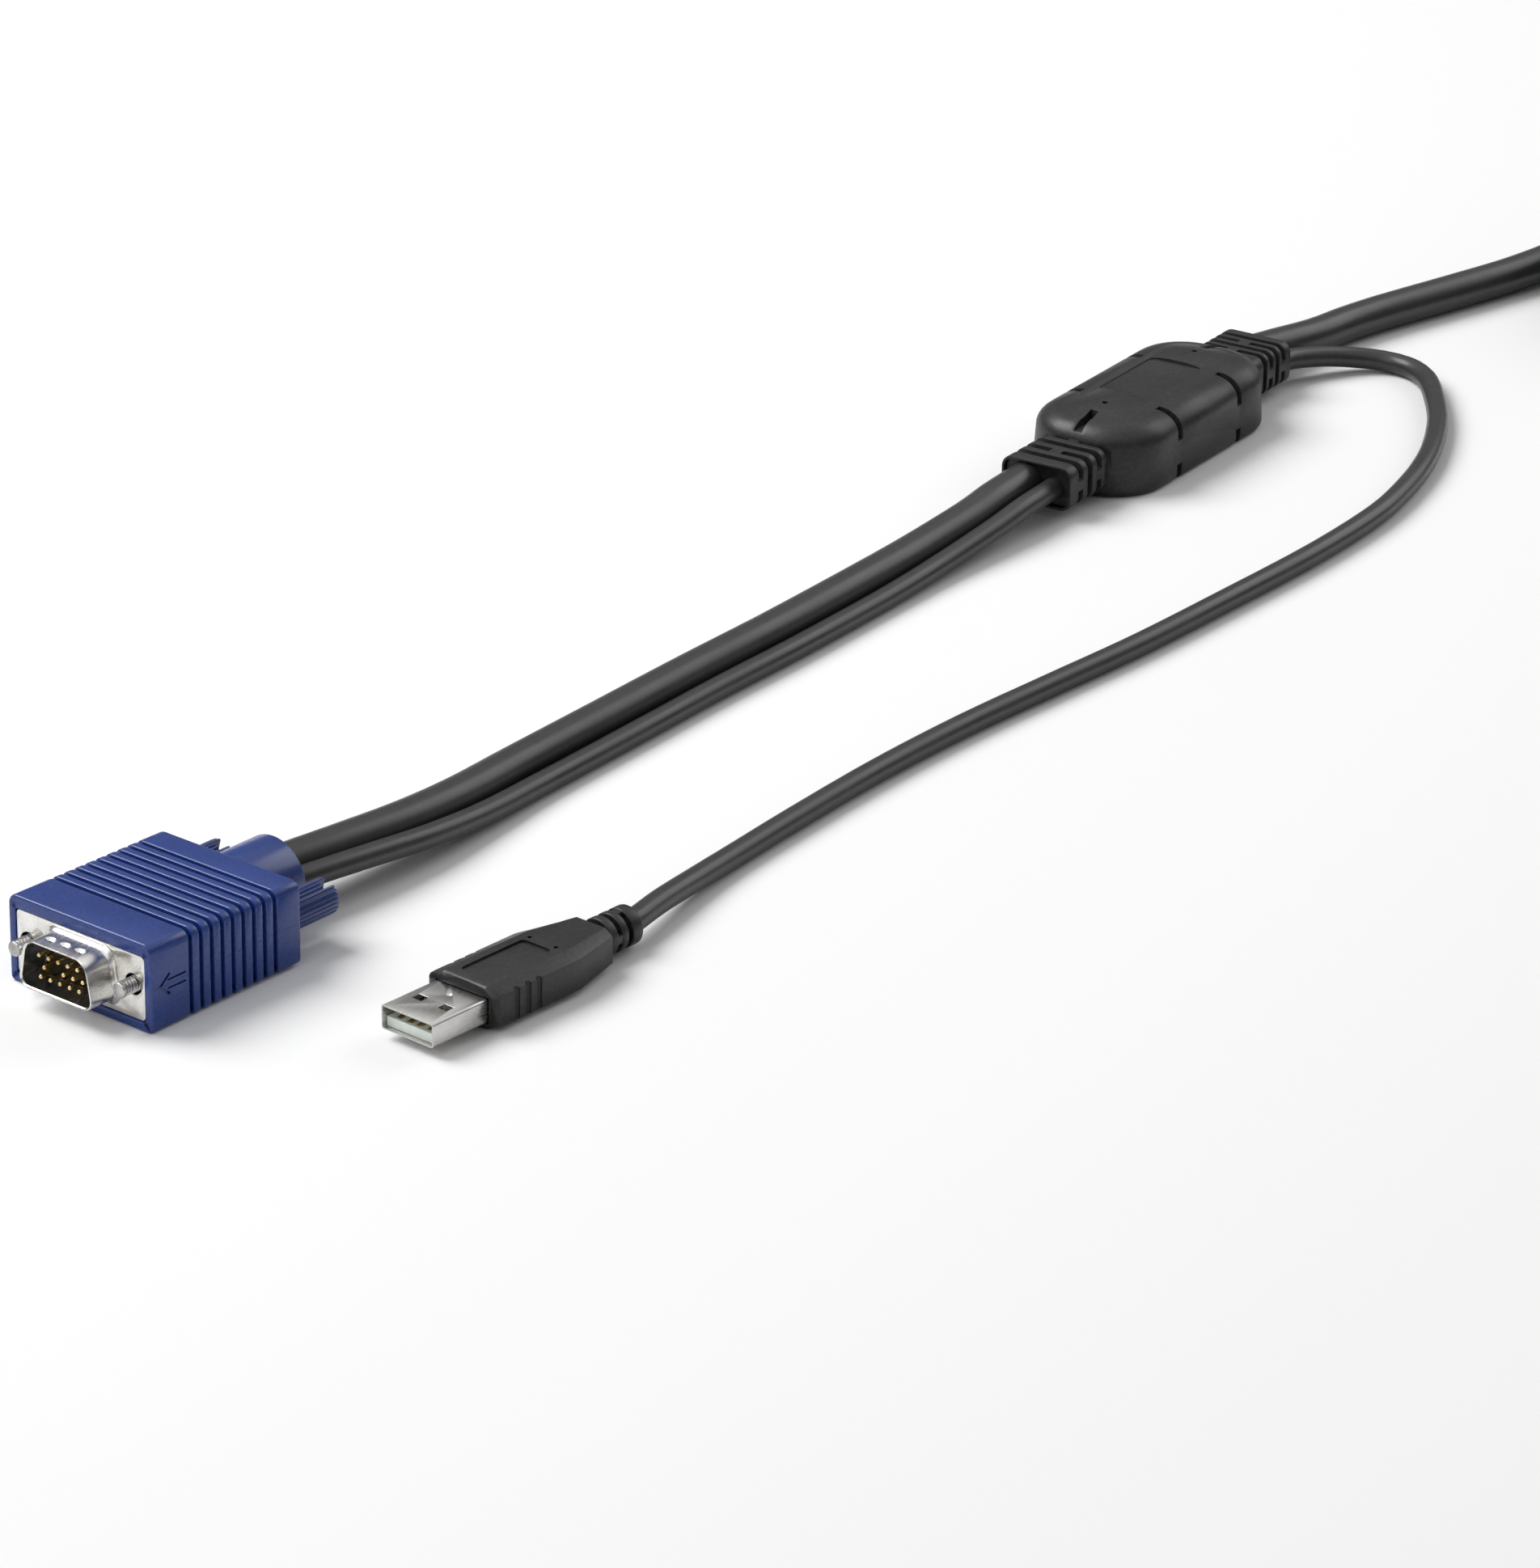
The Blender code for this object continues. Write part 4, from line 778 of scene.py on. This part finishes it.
gripSizes = {"start": 13.4, "length": 32.7, "straight": 21.4, "width": 15.4, "side": 5.7, "rise": 1.2,
             "topWidth": 10.0, "tailWidth": 10.0, "tailHigh": 7.2, "lip": 1.35, "tailEdge": 0.5, "soft": 0.35,
             "pocket": (0.8, 6.15, 2.4), "panelStart": 3.0, "panelLong": 15.8, "panelWide": 6.8,
             "panelDeep": 0.38, "panelCorner": 0.9, "grooves": (5.5, 8.3, 11.0), "grooveRadius": 0.66,
             "pinHole": (20.1, 3.04), "pinRadius": 0.42, "pinDeep": 1.2, "core": 2.65, "coreLong": 9.1,
             "relief": 3.7, "rings": ((1.1, 1.9), (4.0, 1.6), (6.7, 2.5)), "bridge": 0.85}


def makeGrip():
    size = gripSizes
    start, end = size["start"], size["start"] + size["length"]
    half = size["width"] / 2
    high = size["side"] / 2 + size["rise"]
    grip = addBox("usbGrip", (start, -half, -size["side"] / 2), (end, half, size["side"] / 2))
    edit(grip)
    for way in (1, -1):
        pickFaces(grip, lambda place, normal: normal.z * way > 0.9)
        bpy.ops.mesh.extrude_region()
        shift(z=way * size["rise"])
        stretch(y=size["topWidth"] / size["width"])
    cutAcross([start + size["straight"]])
    pickPoints(grip, lambda place: place.x > end - 0.01)
    stretch(y=size["tailWidth"] / size["width"], z=size["tailHigh"] / (2 * high))
    pickEdges(grip, lambda place, way: abs(way.x) < 0.3 and place.x < start + 0.01)
    bevel(size["lip"], 4)
    pickEdges(grip, lambda place, way: abs(way.x) < 0.3 and place.x > end - 0.01)
    bevel(size["tailEdge"], 3)
    done()
    softEdges(grip, size["soft"], 3, 14)
    deep, wide, tall = size["pocket"]
    combine(grip, addBox("pocket", (start - 1, -wide, -tall), (start + deep, wide, tall)))
    for x in size["grooves"]:
        for side in (-1, 1):
            combine(grip, addRod("thumbGroove", size["grooveRadius"], -6, 6, y=start + x,
                                 z=side * (half + 0.05), sides=24, along="z"))
    panel = addBox("panel", (start + size["panelStart"], -size["panelWide"] / 2, high - size["panelDeep"]),
                   (start + size["panelStart"] + size["panelLong"], size["panelWide"] / 2, high + 1))
    edit(panel)
    pickEdges(panel, lambda place, way: abs(way.z) > 0.9)
    bevel(size["panelCorner"], 5)
    done()
    combine(grip, panel)
    for side in (-1, 1):
        combine(grip, addRod("pinHole", size["pinRadius"], high - size["pinDeep"], high + 1,
                             y=start + size["pinHole"][0], z=side * size["pinHole"][1], sides=20, along="z"))
    parts = [grip]
    core = addRod("reliefCore", size["core"], end - 1, end + size["coreLong"], sides=40)
    parts.append(core)
    for low, long in size["rings"]:
        ring = addRod("reliefRing", size["relief"], end + low, end + low + long, sides=48)
        parts.append(softEdges(ring, 0.3, 3, 60))
    reach = size["relief"] - 0.15
    for low, far, flat in ((0.0, 4.8, True), (4.8, 8.0, False)):
        wide, tall = (reach, size["bridge"]) if flat else (size["bridge"], reach)
        bridge = addBox("reliefBridge", (end + low, -wide, -tall), (end + far, wide, tall))
        parts.append(softEdges(bridge, 0.25, 2, 60))
    return joined("usbGrip", parts)


usbSizes = {"half": 6.0, "high": 2.25, "length": 16.4, "wall": 0.3, "corner": 0.55, "hole": (2.2, 1.9),
            "holeSpacing": 5.9, "holePlace": 6.3, "dimple": (10.3, 0.75, 0.5), "seam": (0.05, 0.15)}
tongueSizes = {"foot": -1.89, "thick": 1.85, "half": 5.55, "start": 0.8, "base": 9.9,
               "channel": (1.5, 9.5, 0.65, 0.3), "contact": (1.7, 9.3, 0.5, 0.3), "proud": 0.08,
               "bend": (2.4, 0.25), "places": (-3.5, -1.05, 1.05, 3.5)}


def makeUsbShell():
    size = usbSizes
    shell = addBox("usbShell", (0, -size["half"], -size["high"]),
                   (size["length"], size["half"], size["high"]))
    edit(shell)
    pickEdges(shell, lambda place, way: abs(way.x) > 0.9)
    bevel(size["corner"], 5)
    pickFaces(shell, lambda place, normal: abs(normal.x) > 0.9)
    bpy.ops.mesh.delete(type="FACE")
    done()
    modify(shell, "SOLIDIFY", thickness=size["wall"] * mm, offset=-1)
    wide, long = size["hole"]
    for side in (-1, 1):
        middle = side * size["holeSpacing"] / 2
        low = (size["holePlace"] - long / 2, middle - wide / 2, -4)
        combine(shell, addBox("hole", low, (size["holePlace"] + long / 2, middle + wide / 2, 4)))
    x, radius, rise = size["dimple"]
    combine(shell, addBall("dimple", radius, (x, 0, size["high"] + rise)))
    half, deep = size["seam"]
    combine(shell, addBox("seam", (-1, -half, -4), (size["length"] + 0.6, half, deep - size["high"])))
    return softEdges(shell, 0.07, 2, 50)


def makeTongue():
    size = tongueSizes
    foot, half, end = size["foot"], size["half"], usbSizes["length"]
    tongue = addBox("usbTongue", (size["start"], -half, foot), (end, half, foot + size["thick"]))
    base = addBox("tongueBase", (size["base"], 0.05 - half, foot + 1.0), (end - 0.1, half - 0.05, -foot))
    start, stop, wide, deep = size["channel"]
    for y in size["places"]:
        low = (start, y - wide, foot + size["thick"] - deep)
        combine(tongue, addBox("channel", low, (stop, y + wide, foot + 3)))
    softEdges(tongue, 0.12, 2, 50)
    return joined("usbTongue", [tongue, softEdges(base, 0.1, 2, 50)])


def makeContact(number, y):
    size = tongueSizes
    top = size["foot"] + size["thick"]
    start, stop, half, deep = size["contact"]
    contact = addBox(f"usbContact{number}", (start, y - half, top - deep),
                     (stop, y + half, top + size["proud"]))
    edit(contact)
    cutAcross([size["bend"][0]])
    pickPoints(contact, lambda place: place.x < start + 0.1 and place.z > top)
    shift(z=-size["bend"][1])
    done()
    return softEdges(contact, 0.06, 2, 50)


dress(laid(makeGrip(), usbSpot), paints["black"], nodes=["usb_grip"])
# the USB shell wears the darker nickel copy, whose colour holds painted shade
dress(laid(makeUsbShell(), usbSpot), paints["usbNickelPaintedShade"], nodes=["usb_shell"], angle=40)
dress(laid(makeTongue(), usbSpot), paints["tongue"], nodes=["usb_tongue"])
for number, y in enumerate(tongueSizes["places"], 1):
    dress(laid(makeContact(number, y), usbSpot), paints["gold"], nodes=[f"usb_contact_{number}"])
print("USB plug made")


# Junction box

boxSizes = {"long": 31.2, "wide": 14.4, "corner": 12.5, "shoulder": 14.5, "top": 15.7, "round": 5.6,
            "drop": 4.4, "foot": 1.6, "lean": 1.2, "crown": ((0.62, 2.2), (0.38, 2.4), (0.20, 2.2)),
            "slot": 1.8, "deep": 2.0, "sideSlot": 12.1, "sideFoot": 8.7, "footTop": 3.5, "endFoot": 12.6,
            "panel": (11.0, 6.0), "panelFloor": 14.95, "panelCorner": 1.2, "vent": 18.2, "ventRadius": 0.6,
            "ventFloor": 14.2}


def boxBody(name, shrink):
    size = boxSizes
    long, wide, shoulder = size["long"] - shrink, size["wide"] - shrink, size["shoulder"]
    body = addBox(name, (-long, -wide, 0), (long, wide, shoulder * size["round"] / size["drop"]))
    edit(body)
    pickEdges(body, lambda place, way: abs(way.z) > 0.9)
    bevel(size["corner"] - shrink, 14)
    pickEdges(body, lambda place, way: abs(way.z) < 0.5 and place.z > 1)
    bevel(size["round"], 9)
    bpy.ops.mesh.select_all(action="SELECT")
    stretch(z=size["drop"] / size["round"])
    for rise, inset in size["crown"]:
        pickFaces(body, lambda place, normal: normal.z > 0.98 and abs(place.y) < 2 and abs(place.x) < 2)
        bpy.ops.mesh.inset(thickness=inset * mm)
        shift(z=rise)
    pickEdges(body, lambda place, way: abs(way.z) < 0.5 and place.z < 0.01)
    bevel(size["foot"], 4)
    bpy.ops.mesh.select_all(action="SELECT")
    stretch(z=(size["top"] - shrink) / size["top"])
    pickPoints(body, lambda place: place.z > size["foot"] + 0.01)
    stretch(x=1 - size["lean"] / long)
    done()
    return body


def makeJunction():
    size = boxSizes
    body = boxBody("junctionBox", 0.0)
    core = boxBody("core", size["deep"])
    slots = []
    half = size["slot"] / 2
    for end in (-1, 1):
        x = end * size["sideSlot"]
        for side in (-1, 1):
            y = sorted((side * 8.8, side * 16))
            slots.append(addBox("slot", (x - half, y[0], size["sideFoot"]), (x + half, y[1], 18)))
            y = sorted((side * 12.2, side * 16))
            slots.append(addBox("slot", (x - half, y[0], -1), (x + half, y[1], size["footTop"])))
        x = sorted((end * 22.0, end * 34))
        slots.append(addBox("slot", (x[0], -half, size["endFoot"]), (x[1], half, 18)))
    for slot in slots:
        combine(slot, core, keep=True)
        combine(body, slot)
    bpy.data.objects.remove(core, do_unlink=True)
    long, wide = size["panel"]
    panel = addBox("panel", (-long, -wide, size["panelFloor"]), (long, wide, 18))
    edit(panel)
    pickEdges(panel, lambda place, way: abs(way.z) > 0.9)
    bevel(size["panelCorner"], 5)
    done()
    combine(body, panel)
    for end in (-1, 1):
        combine(body, addRod("vent", size["ventRadius"], size["ventFloor"], 18, y=end * size["vent"],
                             sides=24, along="z"))
    parts = [softEdges(body, 0.16, 2, 42)]
    for end in (-1, 1):
        parts.append(makeRelief(end))
    return joined("junctionBox", parts)


reliefSizes = {"halfWide": 8.1, "halfHigh": 4.6, "axis": 6.6, "corner": 2.4, "end": 45.0, "start": 24.0,
               "deep": 2.3, "rim": 0.62, "hollow": 1.2, "grooves": 4, "bridge": (1.1, 1.3),
               "left": {"collar": 3.3, "pitch": 3.65, "groove": 1.8},
               "right": {"collar": 2.2, "pitch": 2.6, "groove": 1.4}}


def makeRelief(end):
    size = reliefSizes
    plan = size["left"] if end < 0 else size["right"]
    wide, high, axis = size["halfWide"], size["halfHigh"], size["axis"]
    x = sorted((end * size["start"], end * size["end"]))
    relief = addBox("relief", (x[0], -wide, axis - high), (x[1], wide, axis + high))
    edit(relief)
    pickEdges(relief, lambda place, way: abs(way.x) > 0.9)
    bevel(size["corner"], 7)
    pickFaces(relief, lambda place, normal: normal.x * end > 0.9)
    bpy.ops.mesh.inset(thickness=size["rim"] * mm)
    bpy.ops.mesh.extrude_region()
    shift(x=-end * size["hollow"])
    done()
    deep = size["deep"]
    for index in range(size["grooves"]):
        middle = end * (size["end"] - plan["collar"] - plan["groove"] / 2 - index * plan["pitch"])
        low, top = middle - plan["groove"] / 2, middle + plan["groove"] / 2
        groove = addBox("groove", (low, -wide - 2, axis - high - 2), (top, wide + 2, axis + high + 2))
        core = addBox("grooveCore", (low - 1, deep - wide, axis - high + deep),
                      (top + 1, wide - deep, axis + high - deep))
        edit(core)
        pickEdges(core, lambda place, way: abs(way.x) > 0.9)
        bevel(1.2, 4)
        done()
        combine(groove, core)
        if index % 2 == 0:
            half = size["bridge"][0]
            bridge = addBox("bridge", (low - 1, -wide - 3, axis - half), (top + 1, wide + 3, axis + half))
        else:
            half = size["bridge"][1]
            bridge = addBox("bridge", (low - 1, -half, axis - high - 3), (top + 1, half, axis + high + 3))
        combine(groove, bridge)
        combine(relief, groove)
    return softEdges(relief, 0.22, 2, 45)


dress(makeJunction(), paints["black"], nodes=["junction_box"])
print("junction box made")


# Tie round the coil

tieSizes = {"angle": -20.0, "width": 10.0, "thick": 1.1, "clear": 0.25, "corner": 3.2,
            "strap": (-7, 8), "strapThick": 0.9}


def makeTie():
    size = tieSizes
    half = size["width"] / 2
    wide = 3 * thickRadius + size["clear"]
    low = coil["foot"] - size["clear"]
    top = coil["foot"] + 4 * thickRadius + size["clear"]
    band = addBox("coilTie", (coil["radius"] - wide - 0.3, -half, low), (coil["radius"] + wide, half, top))
    edit(band)
    pickEdges(band, lambda place, way: abs(way.y) > 0.9)
    bevel(size["corner"], 6)
    pickFaces(band, lambda place, normal: abs(normal.y) > 0.9)
    bpy.ops.mesh.delete(type="FACE")
    done()
    modify(band, "SOLIDIFY", thickness=size["thick"] * mm, offset=1)
    softEdges(band, 0.25, 2, 50)
    start, stop = (coil["radius"] + place for place in size["strap"])
    foot = top + size["thick"] + 0.05
    strap = addBox("tieEnd", (start, -half, foot), (stop, half, foot + size["strapThick"]))
    band = joined("coilTie", [band, softEdges(strap, 0.3, 2, 50)])
    return laid(band, {"x": coil["x"], "y": coil["y"], "z": 0.0, "turn": size["angle"]})


tie = dress(makeTie(), paints["tie"], nodes=["coil_tie"])

farPlug + [tie]


# Floor and light

lightPlan = {"sky": 0.26, "lowGloss": 0.24, "highGloss": 1.0, "floor": 0.985, "aim": (-0.1, 0, 0),
             "lamps": {"key": {"place": (-0.42, 1.18, 1.45), "size": 1.35, "power": 32.0},
                       "back": {"place": (1.45, -0.55, 0.95), "size": 1.3, "power": 7.5},
                       "fill": {"place": (-1.6, 0.3, 1.2), "size": 1.2, "power": 4.0}}}


def makeFloor():
    deselect()
    bpy.ops.mesh.primitive_plane_add(size=12.0, location=(0, 0, 0))
    floor = bpy.context.object
    floor.name = "floor"
    material, shader, wire = newMaterial("floorPaint", 0.9)
    shader.inputs["Base Color"].default_value = (*[lightPlan["floor"]] * 3, 1)
    shader.inputs["Specular IOR Level"].default_value = 0.0
    floor.data.materials.append(material)


def makeLamp(name, plan):
    lamp = bpy.data.lights.new(name, "AREA")
    lamp.shape = "DISK"
    lamp.size = plan["size"]
    lamp.energy = plan["power"]
    thing = bpy.data.objects.new(name, lamp)
    thing.location = plan["place"]
    ray = Vector(lightPlan["aim"]) - Vector(plan["place"])
    thing.rotation_euler = ray.to_track_quat("-Z", "Y").to_euler()
    bpy.context.scene.collection.objects.link(thing)


def makeSky():
    world = bpy.data.worlds.new("studio")
    world.use_nodes = True
    bpy.context.scene.world = world
    background = world.node_tree.nodes["Background"]
    background.inputs["Color"].default_value = (1, 1, 1, 1)
    wire = Wire(world.node_tree)
    direction = wire.node("ShaderNodeTexCoord", output="Generated")
    height = wire.node("ShaderNodeSeparateXYZ", {}, {"Vector": direction}, output="Z")
    isCamera = wire.node("ShaderNodeLightPath", output="Is Camera Ray")
    isGlossy = wire.node("ShaderNodeLightPath", output="Is Glossy Ray")
    low, high, sky = lightPlan["lowGloss"], lightPlan["highGloss"], lightPlan["sky"]
    gloss = height.between(0.35, 0.8) * (high - low) + low  # brighter overhead than near the horizon
    strength = isCamera * (1 - sky) + isGlossy * (gloss - sky) + sky
    feed(wire, background, "Strength", strength)


makeFloor()
makeSky()
for lampName, lampPlan in lightPlan["lamps"].items():
    makeLamp(lampName, lampPlan)
bpy.context.scene.view_settings.view_transform = "Standard"
print("stage made")

deselect()
